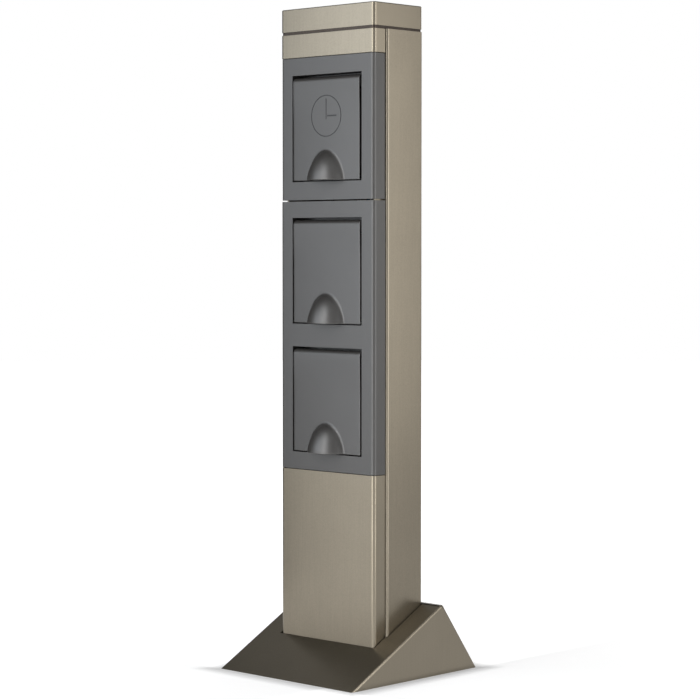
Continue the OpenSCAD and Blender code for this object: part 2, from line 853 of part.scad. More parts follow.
module din_rail() {
    half = rail_w / 2;
    step = 4.5;
    color(steel)
        rail_place()
            difference() {
                translate([-rail_l / 2, 0, 0]) rotate([90, 0, 90])
                    linear_extrude(rail_l) {
                        translate([-1, -half + step]) square([1, rail_w - 2 * step]);
                        for (s = [-1, 1]) {
                            translate([-rail_d, s * (half - step - 0.5) - 0.5]) square([rail_d, 1]);
                            translate([-rail_d, s * (half - step / 2 - 0.25) - step / 2 - 0.25])
                                square([1, step + 0.5]);
                        }
                    }
                for (x = [-1, 1])
                    translate([x * rail_l * 0.36, 0, 0]) rotate([90, 0, 0])
                        translate([0, 0, -1]) cylinder(r = 2.2, h = 3);
            }
}

module rail_screws() {
    color(steel)
        rail_place()
            for (x = [-1, 1])
                translate([x * rail_l * 0.36, 0, 0]) rotate([90, 0, 0])
                    translate([0, 0, 1]) {
                        cylinder(r = rail_head_r, h = 2.2);
                        translate([0, 0, -1 + eps]) cylinder(r = rail_screw_r, h = 1);
                    }
}

module rail_terminal(x, tint) {
    half = rail_w / 2;
    front = terminal_front;
    back = post_d - profile_t - rail_d - hole_gap;
    color(tint)
        translate([x - terminal_w / 2, front_y, rail_z])
            difference() {
                union() {
                    translate([0, front, -terminal_h / 2])
                        cube([terminal_w, back - front, terminal_h]);
                    for (s = [-1, 1])
                        translate([0, back - eps, s * (half + 1.4) - 1.2])
                            cube([terminal_w, 3, 2.4]);
                }
                for (s = [-1, 1]) {
                    translate([terminal_w / 2, front - 1, s * 14]) rotate([-90, 0, 0])
                        cylinder(r = 2, h = 9);
                    translate([terminal_w / 2, front + 14, s * (terminal_h / 2 + 1)])
                        rotate([90 + s * 90, 0, 0])
                            cylinder(r = conductor_r + hole_gap, h = 9);
                }
            }
}

terminal_gap = 0.3;
module live_terminal() { rail_terminal(-terminal_w - terminal_gap, "#8a8d90"); }
module neutral_terminal() { rail_terminal(0, "#2f66b5"); }
module earth_terminal() { rail_terminal(terminal_w + terminal_gap, "#4f9a3c"); }

module terminal_screws() {
    color(steel)
        for (x = [-1 : 1])
            for (s = [-1, 1])
                translate([x * (terminal_w + terminal_gap), front_y + terminal_front + 1, rail_z + s * 14])
                    rotate([-90, 0, 0])
                        difference() {
                            cylinder(r = 1.9, h = 6.9);
                            translate([-2, -0.35, -1]) cube([4, 0.7, 1.8]);
                        }
}

// Wires that run straight between right-angled bends
function turned(d) = [d[1], d[2], d[0]];
function matrix(x, y, z, p) = [
    [x[0], y[0], z[0], p[0]],
    [x[1], y[1], z[1], p[1]],
    [x[2], y[2], z[2], p[2]],
    [0, 0, 0, 1]
];

module bent_wire(path) {
    last = len(path) - 1;
    dirs = [for (i = [0 : last - 1]) unit(path[i + 1] - path[i])];
    for (i = [0 : last - 1]) {
        start = path[i] + (i > 0 ? wire_bend : 0) * dirs[i];
        stop = path[i + 1] - (i < last - 1 ? wire_bend : 0) * dirs[i];
        side = turned(dirs[i]);
        multmatrix(matrix(side, cross(dirs[i], side), dirs[i], start))
            cylinder(r = conductor_r, h = norm(stop - start));
    }
    for (i = [1 : last - 1]) {
        before = dirs[i - 1];
        after = dirs[i];
        multmatrix(matrix(-after, before, cross(before, after),
                path[i] - wire_bend * before + wire_bend * after))
            rotate_extrude(angle = 90) translate([wire_bend, 0]) circle(conductor_r);
    }
}

// Each conductor goes from its terminal to the lower socket, on to the upper one and to the timer
module conductor(x, shift, tint) {
    socket_back = front_y + block_back;
    low = lower_bay_z + bay_mid_z;
    high = upper_bay_z + bay_mid_z;
    top = timer_bay_z + bay_mid_z;
    step = conductor_gap;
    color(tint) {
        bent_wire([
            [x, front_y + wire_in, rail_z + clamp_up - conductor_gap],
            [x, front_y + wire_in, rail_z + wire_over + shift],
            [x, trunk_y, rail_z + wire_over + shift],
            [x, trunk_y, rail_z + wire_apart + shift],
            [2 * x, trunk_y, rail_z + wire_apart + shift],
            [2 * x, trunk_y, low - step],
            [2 * x, socket_back, low - step]
        ]);
        bent_wire([
            [2 * x, socket_back, low + step], [2 * x, trunk_y, low + step],
            [2 * x, trunk_y, high - step], [2 * x, socket_back, high - step]
        ]);
        bent_wire([
            [2 * x, socket_back, high + step], [2 * x, trunk_y, high + step],
            [2 * x, trunk_y, top], [2 * x, front_y + timer_block_back, top]
        ]);
    }
}

module live_wires() { conductor(-terminal_w - terminal_gap, 0, "#7a4a2a"); }
module neutral_wires() { straight_conductor("#2f66b5"); }
module earth_wires() { conductor(terminal_w + terminal_gap, 0, "#5f9a3c"); }

// The middle conductor needs no step to the side
module straight_conductor(tint) {
    socket_back = front_y + block_back;
    low = lower_bay_z + bay_mid_z;
    high = upper_bay_z + bay_mid_z;
    top = timer_bay_z + bay_mid_z;
    step = conductor_gap;
    color(tint) {
        bent_wire([
            [0, front_y + wire_in, rail_z + clamp_up - conductor_gap],
            [0, front_y + wire_in, rail_z + wire_over],
            [0, trunk_y, rail_z + wire_over],
            [0, trunk_y, low - step],
            [0, socket_back, low - step]
        ]);
        bent_wire([
            [0, socket_back, low + step], [0, trunk_y, low + step],
            [0, trunk_y, high - step], [0, socket_back, high - step]
        ]);
        bent_wire([
            [0, socket_back, high + step], [0, trunk_y, high + step],
            [0, trunk_y, top], [0, front_y + timer_block_back, top]
        ]);
    }
}

// Foot: a folded sheet over a base tray
module foot_section(inset) {
    front = -foot_d / 2 + inset / sin(ramp_angle);
    back = foot_d / 2 - inset / sin(back_angle);
    r = ridge_r - inset;
    inward = [sin(ridge_turn), -cos(ridge_turn)];
    apex = [ridge_y, foot_h] + inset / sin(ridge_half) * inward;
    middle = apex + r / sin(ridge_half) * inward;
    arc = [for (i = [0 : ridge_steps])
        let(a = -ramp_angle + (ramp_angle + back_angle) * i / ridge_steps)
        middle + r * [sin(a), cos(a)]];
    polygon(concat([[front, 0]], arc, [[back, 0]]));
}

module across(w) {
    translate([-w / 2, 0, 0]) rotate([90, 0, 90]) linear_extrude(w) children();
}

// The back panel's frame: y points out of the panel and z climbs it
module back_panel_frame() {
    translate([0, foot_d / 2, 0]) rotate([90 - back_angle, 0, 0]) children();
}

module foot_cover() {
    color(metal)
        difference() {
            across(foot_w) foot_section(0);
            translate([0, 0, -eps]) across(foot_w - 2 * sheet_t) foot_section(sheet_t);
            translate([0, 0, -1]) linear_extrude(foot_h + 2) post_hole(post_gap);
            back_panel_frame()
                for (x = [-1, 1])
                    translate([x * foot_screw_x, 1, foot_screw_up]) rotate([90, 0, 0])
                        cylinder(r = foot_screw_r + hole_gap, h = sheet_t + 2);
        }
}

module base_tray() {
    d = tray_back - tray_front;
    color(metal_dark)
        difference() {
            union() {
                difference() {
                    translate([-tray_w / 2, tray_front, 0]) cube([tray_w, d, tray_h]);
                    translate([-tray_w / 2 + tray_t, tray_front + tray_t, -1])
                        cube([tray_w - 2 * tray_t, d - 2 * tray_t, tray_h - tray_t + 1]);
                }
                back_panel_frame()
                    for (x = [-1, 1])
                        translate([x * foot_screw_x - tab_w / 2, -sheet_t - hole_gap - tab_t,
                                tray_h / sin(back_angle) - 1])
                            cube([tab_w, tab_t, tab_l]);
            }
            for (x = [-1, 1])
                for (y = [-1, 1])
                    translate([x * anchor_x / 2, anchor_mid_y + y * anchor_y / 2, -1])
                        cylinder(r = anchor_r, h = tray_h + 2);
            translate([0, gland_y, -1]) cylinder(r = gland_r + hole_gap, h = tray_h + 2);
            for (x = [-1, 1])
                translate([x * tray_bolt_x, bracket_y, -1])
                    cylinder(r = tray_bolt_r + hole_gap, h = tray_h + 2);
            back_panel_frame()
                for (x = [-1, 1])
                    translate([x * foot_screw_x, 0, foot_screw_up]) rotate([90, 0, 0])
                        cylinder(r = foot_screw_r + 0.05, h = 2 * foot_screw_l);
        }
}

module foot_screws() {
    color(steel)
        back_panel_frame()
            for (x = [-1, 1])
                translate([x * foot_screw_x, 0, foot_screw_up]) rotate([90, 0, 0])
                    difference() {
                        union() {
                            cylinder(r = foot_screw_r, h = foot_screw_l);
                            translate([0, 0, -foot_head_h]) cylinder(r = foot_head_r, h = foot_head_h);
                        }
                        for (a = [0, 90])
                            rotate([0, 0, a])
                                translate([-foot_head_r / 2, -0.4, -foot_head_h - 1])
                                    cube([foot_head_r, 0.8, 2.2]);
                    }
}

module post_bracket() {
    color(steel)
        difference() {
            union() {
                translate([-bracket_x, bracket_y - bracket_d / 2, tray_h])
                    cube([2 * bracket_x, bracket_d, bracket_t]);
                for (x = [-1, 1])
                    translate([x * (bracket_x - bracket_t / 2) - bracket_t / 2,
                            bracket_y - bracket_d / 2, tray_h])
                        cube([bracket_t, bracket_d, bracket_h]);
            }
            translate([0, gland_y, tray_h - 1]) cylinder(r = gland_r + hole_gap, h = bracket_t + 2);
            for (x = [-1, 1]) {
                translate([x * tray_bolt_x, bracket_y, tray_h - 1])
                    cylinder(r = tray_bolt_r + hole_gap, h = bracket_t + 2);
                for (z = bracket_screw_z)
                    translate([x * (bracket_x - bracket_t / 2), bracket_y, tray_h + z])
                        rotate([0, 90, 0])
                            cylinder(r = bracket_screw_r + 0.05, h = bracket_t + 2, center = true);
            }
        }
}

module bracket_screws() {
    color(steel)
        for (x = [-1, 1])
            for (z = bracket_screw_z)
                translate([x * rear_w / 2, bracket_y, tray_h + z])
                    rotate([0, x * 90, 0]) countersunk(bracket_screw_r, bracket_head_r, 10);
}

module hex_prism(af, h) {
    cylinder(d = af / cos(30), h = h, $fn = 6);
}

module tray_bolts() {
    color(steel)
        for (x = [-1, 1])
            translate([x * tray_bolt_x, bracket_y, gland_base]) {
                hex_prism(bolt_af, bolt_head_h);
                translate([0, 0, -bracket_t - tray_t - bolt_head_h - 0.5])
                    cylinder(r = tray_bolt_r, h = bracket_t + tray_t + bolt_head_h + 0.5 + eps);
            }
}

module tray_nuts() {
    color(steel)
        for (x = [-1, 1])
            translate([x * tray_bolt_x, bracket_y, tray_h - tray_t - bolt_head_h])
                difference() {
                    hex_prism(bolt_af, bolt_head_h);
                    translate([0, 0, -1]) cylinder(r = tray_bolt_r + 0.05, h = 6);
                }
}

// Cable gland
module gland_place() {
    translate([0, gland_y, 0]) children();
}

module gland_body() {
    color("#4a4a4c")
        gland_place()
            difference() {
                union() {
                    translate([0, 0, 0.6]) cylinder(r = gland_r, h = gland_base - 0.6 + eps);
                    translate([0, 0, gland_base]) hex_prism(nut_af, 6);
                    translate([0, 0, gland_base + 6 - eps])
                        cylinder(r = gland_r - 0.4, h = gland_body_h - 6);
                }
                translate([0, 0, -1])
                    cylinder(r = cable_r + seal_wall + hole_gap, h = gland_base + gland_body_h + 2);
            }
}

module gland_locknut() {
    color("#4a4a4c")
        gland_place()
            translate([0, 0, tray_h - tray_t - 4])
                difference() {
                    hex_prism(nut_af + 2, 4);
                    translate([0, 0, -1]) cylinder(r = gland_r + 0.05, h = 6);
                }
}

module gland_nut() {
    low = gland_base + 6 + loose;
    color("#4a4a4c")
        gland_place()
            difference() {
                union() {
                    translate([0, 0, low]) hex_prism(nut_af - 1, 9);
                    translate([0, 0, low + 9 - eps]) cylinder(r1 = 11.5, r2 = 9, h = gland_nut_h - 9);
                }
                translate([0, 0, low - 1]) cylinder(r = gland_r - 0.3, h = gland_body_h - 6 + 1);
                translate([0, 0, low]) cylinder(r = cable_r + 0.5, h = gland_nut_h + 2);
            }
}

module gland_seal() {
    color("#2c2c2e")
        gland_place()
            translate([0, 0, gland_base])
                difference() {
                    cylinder(r = cable_r + seal_wall, h = gland_body_h - loose);
                    translate([0, 0, -1]) cylinder(r = cable_r, h = gland_body_h + 2);
                }
}

rear_profile();
top_cap();
cap_collar();
cap_screws();
upper_front_strip();
lower_front_panel();
timer_housing();
socket_housing();
timer_lid();
upper_socket_lid();
lower_socket_lid();
timer_lid_pin();
upper_lid_pin();
lower_lid_pin();
timer_lid_spring();
upper_lid_spring();
lower_lid_spring();
lid_seals();
timer_body();
timer_bezel();
timer_dial();
timer_tappets();
timer_pointer();
override_slider();
upper_socket_insert();
lower_socket_insert();
socket_contacts();
earth_clips();
insert_screws();
din_rail();
rail_screws();
live_terminal();
neutral_terminal();
earth_terminal();
terminal_screws();
live_wires();
neutral_wires();
earth_wires();
foot_cover();
base_tray();
post_bracket();
bracket_screws();
tray_bolts();
tray_nuts();
foot_screws();
gland_body();
gland_locknut();
gland_nut();
gland_seal();
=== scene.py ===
"""Looks of the garden socket post: brushed metal, moulded plastics, lids, screws, dial, light and camera."""
import math

import bmesh
import bpy
from mathutils import Matrix, Vector


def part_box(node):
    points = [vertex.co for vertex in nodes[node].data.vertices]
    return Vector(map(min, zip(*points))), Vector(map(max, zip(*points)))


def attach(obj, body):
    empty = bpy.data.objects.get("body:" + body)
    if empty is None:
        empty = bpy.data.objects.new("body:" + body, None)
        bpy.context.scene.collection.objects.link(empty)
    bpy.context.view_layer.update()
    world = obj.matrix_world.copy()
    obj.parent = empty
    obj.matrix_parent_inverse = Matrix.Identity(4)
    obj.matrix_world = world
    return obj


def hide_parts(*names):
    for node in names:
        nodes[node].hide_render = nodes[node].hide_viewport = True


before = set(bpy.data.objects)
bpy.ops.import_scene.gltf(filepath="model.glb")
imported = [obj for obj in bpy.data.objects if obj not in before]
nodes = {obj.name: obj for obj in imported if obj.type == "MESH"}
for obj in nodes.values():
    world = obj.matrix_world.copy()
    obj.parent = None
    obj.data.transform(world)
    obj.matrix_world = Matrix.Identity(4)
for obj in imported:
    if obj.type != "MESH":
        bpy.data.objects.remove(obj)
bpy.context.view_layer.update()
MM = 0.001
ON_PLANE = 1e-5  # metres within which a point counts as lying on a plane
QUARTER = math.radians(90)


def linear(hex_colour):
    """The linear colour of an sRGB hex value."""
    channels = [int(hex_colour[i:i + 2], 16) / 255 for i in (1, 3, 5)]
    return [c / 12.92 if c <= 0.04045 else ((c + 0.055) / 1.055) ** 2.4 for c in channels] + [1.0]


def add(tree, kind, inputs=None, **settings):
    """Adds a node with its settings. An input is a value, or one or more outputs that are linked to it."""
    node = tree.nodes.new(kind)
    for name, value in settings.items():
        setattr(node, name, value)
    for name, value in (inputs or {}).items():
        parts = value if isinstance(value, list) else [value]
        links = [part for part in parts if isinstance(part, bpy.types.NodeSocket)]
        for part in links:
            tree.links.new(part, node.inputs[name])
        if not links:
            node.inputs[name].default_value = value
    return node


def new_material(name):
    material = bpy.data.materials.new(name)
    material.use_nodes = True
    material.node_tree.nodes.clear()
    return material, material.node_tree


def per_mm(size_mm):
    """Scale of a noise whose grains are about size_mm across."""
    return 1.0 / (size_mm * MM)


def brushed_metal(name, dark, pale, roughness, metallic=0.9):
    """Brushed and anodised metal: fine upright lines of two tones that differ in gloss too, and faint clouds."""
    line_mm, fleck_mm, cloud_mm, bump_mm = 0.8, 0.8, 40, 0.0015
    line_share, fleck_share, cloud_share = 0.3, 0.5, 0.2
    gloss_change = 0.012
    upright = (1, 1, 0.02)  # draws the grains out along Z
    material, tree = new_material(name)
    place = add(tree, "ShaderNodeTexCoord").outputs["Object"]
    drawn = add(tree, "ShaderNodeMapping", {"Vector": place, "Scale": upright}).outputs["Vector"]
    lines = add(tree, "ShaderNodeTexNoise", {
        "Vector": drawn, "Scale": per_mm(line_mm), "Detail": 2.0, "Roughness": 0.6}).outputs["Fac"]
    fleck = add(tree, "ShaderNodeTexNoise", {
        "Vector": place, "Scale": per_mm(fleck_mm), "Detail": 1.0}).outputs["Fac"]
    cloud = add(tree, "ShaderNodeTexNoise", {
        "Vector": place, "Scale": per_mm(cloud_mm), "Detail": 2.0}).outputs["Fac"]
    share = add(tree, "ShaderNodeMath", {0: lines, 1: line_share}, operation="MULTIPLY").outputs[0]
    for marks, part in ((fleck, fleck_share), (cloud, cloud_share)):
        share = add(tree, "ShaderNodeMath", {0: marks, 1: part, 2: share}, operation="MULTIPLY_ADD").outputs[0]
    share = add(tree, "ShaderNodeMapRange", {"Value": share, "From Min": 0.36, "From Max": 0.64}).outputs["Result"]
    tone = add(tree, "ShaderNodeMix", {0: share, 6: linear(dark), 7: linear(pale)}, data_type="RGBA").outputs[2]
    rough = add(tree, "ShaderNodeMapRange", {
        "Value": lines, "From Min": 0.3, "From Max": 0.7, "To Min": roughness + gloss_change,
        "To Max": roughness - gloss_change}).outputs["Result"]
    bump = add(tree, "ShaderNodeBump", {"Height": lines, "Strength": 0.3, "Distance": bump_mm * MM})
    shader = add(tree, "ShaderNodeBsdfPrincipled", {
        "Base Color": tone, "Roughness": rough, "Metallic": metallic, "Normal": bump.outputs["Normal"]})
    add(tree, "ShaderNodeOutputMaterial", {"Surface": shader.outputs["BSDF"]})
    return material


def moulded(name, shade, roughness, grain_mm=0.8, bump_mm=0.02, contrast=0.06, ior=1.5):
    """Moulded plastic: an even colour with a spark-eroded grain and faint flow clouds."""
    cloud_mm, cloud_share = 35, 0.35
    material, tree = new_material(name)
    place = add(tree, "ShaderNodeTexCoord").outputs["Object"]
    grain = add(tree, "ShaderNodeTexNoise", {
        "Vector": place, "Scale": per_mm(grain_mm), "Detail": 2.0, "Roughness": 0.6}).outputs["Fac"]
    cloud = add(tree, "ShaderNodeTexNoise", {
        "Vector": place, "Scale": per_mm(cloud_mm), "Detail": 2.0}).outputs["Fac"]
    both = add(tree, "ShaderNodeMath", {0: cloud, 1: cloud_share, 2: grain}, operation="MULTIPLY_ADD").outputs[0]
    value = add(tree, "ShaderNodeMapRange", {
        "Value": both, "From Min": 0.425, "From Max": 0.925, "To Min": 1 - contrast,
        "To Max": 1 + contrast}).outputs["Result"]
    colour = add(tree, "ShaderNodeHueSaturation", {"Value": value, "Color": linear(shade)}).outputs["Color"]
    rough = add(tree, "ShaderNodeMapRange", {
        "Value": grain, "From Min": 0.3, "From Max": 0.7, "To Min": roughness - 0.04,
        "To Max": roughness + 0.05}).outputs["Result"]
    bump = add(tree, "ShaderNodeBump", {"Height": grain, "Strength": 0.4, "Distance": bump_mm * MM})
    shader = add(tree, "ShaderNodeBsdfPrincipled", {
        "Base Color": colour, "Roughness": rough, "IOR": ior, "Normal": bump.outputs["Normal"]})
    add(tree, "ShaderNodeOutputMaterial", {"Surface": shader.outputs["BSDF"]})
    return material


def turned_metal(name, shade, roughness, grain_mm=0.5):
    """Bare or plated metal: fine turning and plating marks change its gloss a little."""
    bump_mm = 0.01
    material, tree = new_material(name)
    place = add(tree, "ShaderNodeTexCoord").outputs["Object"]
    marks = add(tree, "ShaderNodeTexNoise", {
        "Vector": place, "Scale": per_mm(grain_mm), "Detail": 4.0}).outputs["Fac"]
    value = add(tree, "ShaderNodeMapRange", {
        "Value": marks, "From Min": 0.3, "From Max": 0.7, "To Min": 0.92, "To Max": 1.06}).outputs["Result"]
    colour = add(tree, "ShaderNodeHueSaturation", {"Value": value, "Color": linear(shade)}).outputs["Color"]
    rough = add(tree, "ShaderNodeMapRange", {
        "Value": marks, "From Min": 0.3, "From Max": 0.7, "To Min": roughness - 0.06,
        "To Max": roughness + 0.08}).outputs["Result"]
    bump = add(tree, "ShaderNodeBump", {"Height": marks, "Strength": 0.2, "Distance": bump_mm * MM})
    shader = add(tree, "ShaderNodeBsdfPrincipled", {
        "Base Color": colour, "Roughness": rough, "Metallic": 1.0, "Normal": bump.outputs["Normal"]})
    add(tree, "ShaderNodeOutputMaterial", {"Surface": shader.outputs["BSDF"]})
    return material


# Bronze-anodised aluminium, brushed upright: warm grey, satin, with a soft sheen that shades from side to side.
# The real brush lines are about 0.1 mm apart and are drawn 0.8 mm wide, so that they show
body_metal = brushed_metal("bronze_anodised_aluminium", "#857D6F", "#8E8677", 0.29)
# The same metal, coloured much darker, on the collar in the groove
groove_metal = brushed_metal("dark_collar_aluminium", "#37302B", "#4C433C", 0.42, 0.6)
# Stove enamel on the folded steel tray: black-brown, with a soft gloss
tray_coat = moulded("stove_enamel", "#4A443C", 0.42, 0.9, 0.02, 0.2)
# ABS of the housings and lids: mid-grey and satin, with a fine spark-eroded grain, drawn 0.8 mm wide to show. Its
# index of refraction is above the real one, for the photographed sheen
housing_plastic = moulded("grey_abs", "#312F2D", 0.42, 0.8, 0.006, 0.16, 1.8)
# The same ABS in the clock symbol's fine groove: darker and duller
symbol_plastic = moulded("marked_abs", "#303031", 0.6, 0.8, 0.02, 0.2)
# Polycarbonate of the socket inserts: dark grey and smooth
insert_plastic = moulded("dark_polycarbonate", "#343436", 0.35, 0.6, 0.01)
# Polyamide of the timer's case: off-white and satin
timer_plastic = moulded("white_polyamide", "#DADAD5", 0.4, 0.7, 0.01, 0.02)
# ABS of the dial: ivory, with the gloss of a polished mould
dial_plastic = moulded("ivory_abs", "#ECECE6", 0.32, 0.7, 0.006, 0.02)
# Acetal of the tappets: blue and slippery
tappet_plastic = moulded("blue_acetal", "#3F6FB0", 0.35, 0.7, 0.008, 0.05)
# Acetal of the pointer and the slider: signal red
signal_plastic = moulded("red_acetal", "#B83030", 0.35, 0.7, 0.008, 0.05)
# Printing ink of the dial's numbers: black and dull
dial_ink = moulded("black_print_ink", "#232323", 0.5, 0.4, 0.002, 0.1)
# EPDM rubber of the seals: nearly black and matt
seal_rubber = moulded("epdm_rubber", "#28282A", 0.72, 0.7, 0.02, 0.1)
# Zinc-plated steel of screws and bracket: bluish grey, half bright
zinc_steel = turned_metal("zinc_plated_steel", "#898C8E", 0.42)
# Stainless steel of the springs: drawn bright
spring_steel = turned_metal("stainless_steel", "#C6C8CA", 0.26, 0.3)
# Steel of the hinge pins: coloured dark and half dull, so that they hardly show beside the lids
pin_steel = turned_metal("dark_hinge_pin_steel", "#4A4C4E", 0.42, 0.3)
# Brass of contacts and clips: rolled and stamped
contact_brass = turned_metal("rolled_brass", "#CBA85A", 0.3)
# Polyamide of the terminals: dull, one colour for each conductor
grey_terminal = moulded("grey_polyamide", "#85888B", 0.45, 0.6)
blue_terminal = moulded("blue_polyamide", "#2F66B5", 0.45, 0.6)
green_terminal = moulded("green_polyamide", "#4F9A3C", 0.45, 0.6)
# PVC of the conductors: softly shining
brown_wire = moulded("brown_pvc", "#6F442A", 0.42, 0.8, 0.01)
blue_wire = moulded("blue_pvc", "#2F66B5", 0.42, 0.8, 0.01)
green_wire = moulded("green_pvc", "#5F9A3C", 0.42, 0.8, 0.01)

# CAD nodes that stay as they are and only get a better material
kept_nodes = {
    "din_rail": zinc_steel, "rail_screws": zinc_steel, "live_terminal": grey_terminal,
    "neutral_terminal": blue_terminal, "earth_terminal": green_terminal, "terminal_screws": zinc_steel,
    "live_wires": brown_wire, "neutral_wires": blue_wire, "earth_wires": green_wire,
    "post_bracket": zinc_steel, "bracket_screws": zinc_steel, "tray_bolts": zinc_steel,
    "tray_nuts": zinc_steel, "timer_body": timer_plastic, "socket_contacts": contact_brass,
    "earth_clips": contact_brass, "gland_body": insert_plastic, "gland_locknut": insert_plastic,
    "gland_nut": insert_plastic, "gland_seal": seal_rubber, "timer_lid_pin": pin_steel,
    "upper_lid_pin": pin_steel, "lower_lid_pin": pin_steel,
}
for node_name, material in kept_nodes.items():
    for node_slot in nodes[node_name].material_slots:
        node_slot.material = material


def finish_piece(piece, material, body, *replaced):
    """Gives a piece its material if it has none, puts it on its body and hides the nodes that it stands for."""
    if not piece.data.materials:
        piece.data.materials.append(material)
    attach(piece, body)
    if replaced:
        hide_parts(*replaced)
    return piece


def new_object(name, data):
    """An object at the origin."""
    thing = bpy.data.objects.new(name, data)
    bpy.context.scene.collection.objects.link(thing)
    return thing


def mesh_from(net, name):
    """A net as a mesh; the net is freed."""
    mesh = bpy.data.meshes.new(name)
    net.to_mesh(mesh)
    net.free()
    return mesh


def applied(thing):
    """Turns an object's modifiers into its mesh."""
    graph = bpy.context.evaluated_depsgraph_get()
    mesh = bpy.data.meshes.new_from_object(thing.evaluated_get(graph), preserve_all_data_layers=True, depsgraph=graph)
    thing.modifiers.clear()
    old = thing.data
    thing.data = mesh
    bpy.data.meshes.remove(old)
    return thing


def smooth(thing, angle=32):
    """Smooth shading, with sharp edges over an angle in degrees."""
    thing.data.shade_smooth()
    thing.data.set_sharp_from_angle(angle=math.radians(angle))
    return thing


def rounded(thing, width_mm):
    """Breaks the sharp edges of a thing, as moulds, dies and coats do."""
    angle = 35
    bevel = thing.modifiers.new("edge", "BEVEL")
    bevel.width = width_mm * MM
    bevel.segments = 2
    bevel.limit_method = "ANGLE"
    bevel.angle_limit = math.radians(angle)
    bevel.use_clamp_overlap = True
    smooth(thing, angle)
    normals = thing.modifiers.new("flats", "WEIGHTED_NORMAL")
    normals.keep_sharp = True
    return applied(thing)


def clean_copy(node_name, name, change=None):
    """A copy of a node with its loose triangles merged into clean faces."""
    mesh = nodes[node_name].data.copy()
    mesh.materials.clear()
    net = bmesh.new()
    net.from_mesh(mesh)
    bmesh.ops.remove_doubles(net, verts=net.verts, dist=0.002 * MM)
    bmesh.ops.dissolve_limit(net, angle_limit=math.radians(0.5), verts=net.verts, edges=net.edges)
    if change:
        change(net)
    net.to_mesh(mesh)
    net.free()
    return new_object(name, mesh)


def dressed(node_name, material, width_mm, body="post", change=None):
    """A finished copy of a node, with its edges broken, that stays inside the node's box."""
    piece = clean_copy(node_name, node_name + "_finished", change)
    rounded(piece, width_mm)
    low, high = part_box(node_name)
    for vertex in piece.data.vertices:
        vertex.co = [min(max(c, a), b) for c, a, b in zip(vertex.co, low, high)]
    return finish_piece(piece, material, body, node_name)


def fold_edges(net):
    """Rounds the folds between the foot's sloping panels and its end plates, but not their lower edges."""
    fold_r, low_edge = 2.2 * MM, 5 * MM
    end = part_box("foot_cover")[1][0]
    folds = []
    for edge in net.edges:
        a, b = (v.co for v in edge.verts)
        if abs(abs(a.x) - end) < ON_PLANE and abs(abs(b.x) - end) < ON_PLANE and max(a.z, b.z) > low_edge:
            folds.append(edge)
    bmesh.ops.bevel(net, geom=folds, offset=fold_r, offset_type="OFFSET", segments=6, profile=0.5,
                    affect="EDGES", clamp_overlap=False)


def top_edges(net):
    """Rounds the cap's upper rim, but not the edges of its screw holes."""
    rim_r, rim_zone = 0.9 * MM, 3.3 * MM
    low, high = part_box("top_cap")
    rim = []
    for edge in net.edges:
        a, b = (v.co for v in edge.verts)
        if abs(a.z - high[2]) < ON_PLANE and abs(b.z - high[2]) < ON_PLANE and all(
                min(abs(v.x - low[0]), abs(v.x - high[0]), abs(v.y - low[1]), abs(v.y - high[1])) < rim_zone
                for v in (a, b)):
            rim.append(edge)
    bmesh.ops.bevel(net, geom=rim, offset=rim_r, offset_type="OFFSET", segments=4, profile=0.5,
                    affect="EDGES", clamp_overlap=True)


dressed("rear_profile", body_metal, 0.45)
dressed("top_cap", body_metal, 0.2, change=top_edges)
dressed("cap_collar", groove_metal, 0.15)
dressed("upper_front_strip", body_metal, 0.25)
dressed("lower_front_panel", body_metal, 0.25)
dressed("timer_housing", housing_plastic, 0.35)
dressed("socket_housing", housing_plastic, 0.35)
dressed("foot_cover", body_metal, 0.25, change=fold_edges)
dressed("base_tray", tray_coat, 0.3)
dressed("timer_bezel", timer_plastic, 0.3)
dressed("timer_dial", dial_plastic, 0.2, "dial")
dressed("timer_pointer", signal_plastic, 0.15)
dressed("override_slider", signal_plastic, 0.3, "slider")
dressed("upper_socket_insert", insert_plastic, 0.3)
dressed("lower_socket_insert", insert_plastic, 0.3)
dressed("lid_seals", seal_rubber, 0.4)

# Lids. Sizes are in mm from the middle of the lower edge of a lid's opening: x to the right, y into the housing, z up.
# The lid's plate, bowed a little at the front, with its thin rim and its hinge barrel. The barrel is a little lower at
# its top than the CAD's, because the photo's gap over the lids is wider
LID_HALF = 40.2
LID_FRONT = -0.5
LID_BACK = 2.2
LID_LOW = 1.0
LID_BOW = 0.45
BOW_END = 80
BOW_FADE = 30
RIM = 0.9
RIM_WIDE = 1.6
PIN_Y = 4.1
PIN_Z = 86.4
PIN_HOLE_R = 1.55
BARREL_R = 4.6
BARREL_TOP = 4.0
EDGE_R = 0.5
LID_STEP = 0.4
# Space in the barrel for the spring, at the lid's left end
SPRING_R = 3.4
SPRING_END = -27.6
SPRING_SLOT_END = -38.2
SPRING_SLOT_REACH = 6
PAST_LID = 42  # past both ends of a lid, for cuts that go right through
# The finger grip
GRIP_HALF = 19.8
GRIP_HIGH = 24.3
GRIP_OUT = 14.0
GRIP_SOFT = 3.0
GRIP_POWER = 1.6
FILLET_IN = 1.1
FILLET_OUT = 2.6
GRIP_WALL = 2.0
# The frame behind the lid that closes on the seal
SKIRT_HALF = 36.0
SKIRT_LOW = 4.0
SKIRT_HIGH = 79.0
SKIRT_BACK = 12.7
SKIRT_WALL = 1.6
SKIRT_CORNER_R = 2.0
SKIRT_CORNER_LEAST = 0.6


def grip_rise(inside, out):
    """Height of a grip's round form where the share inside its outline is given, and its slope."""
    span = (out + GRIP_SOFT) ** 2 - GRIP_SOFT ** 2
    root = math.sqrt(GRIP_SOFT ** 2 + span * max(inside, 0.0))
    return root - GRIP_SOFT, span / (2 * root)


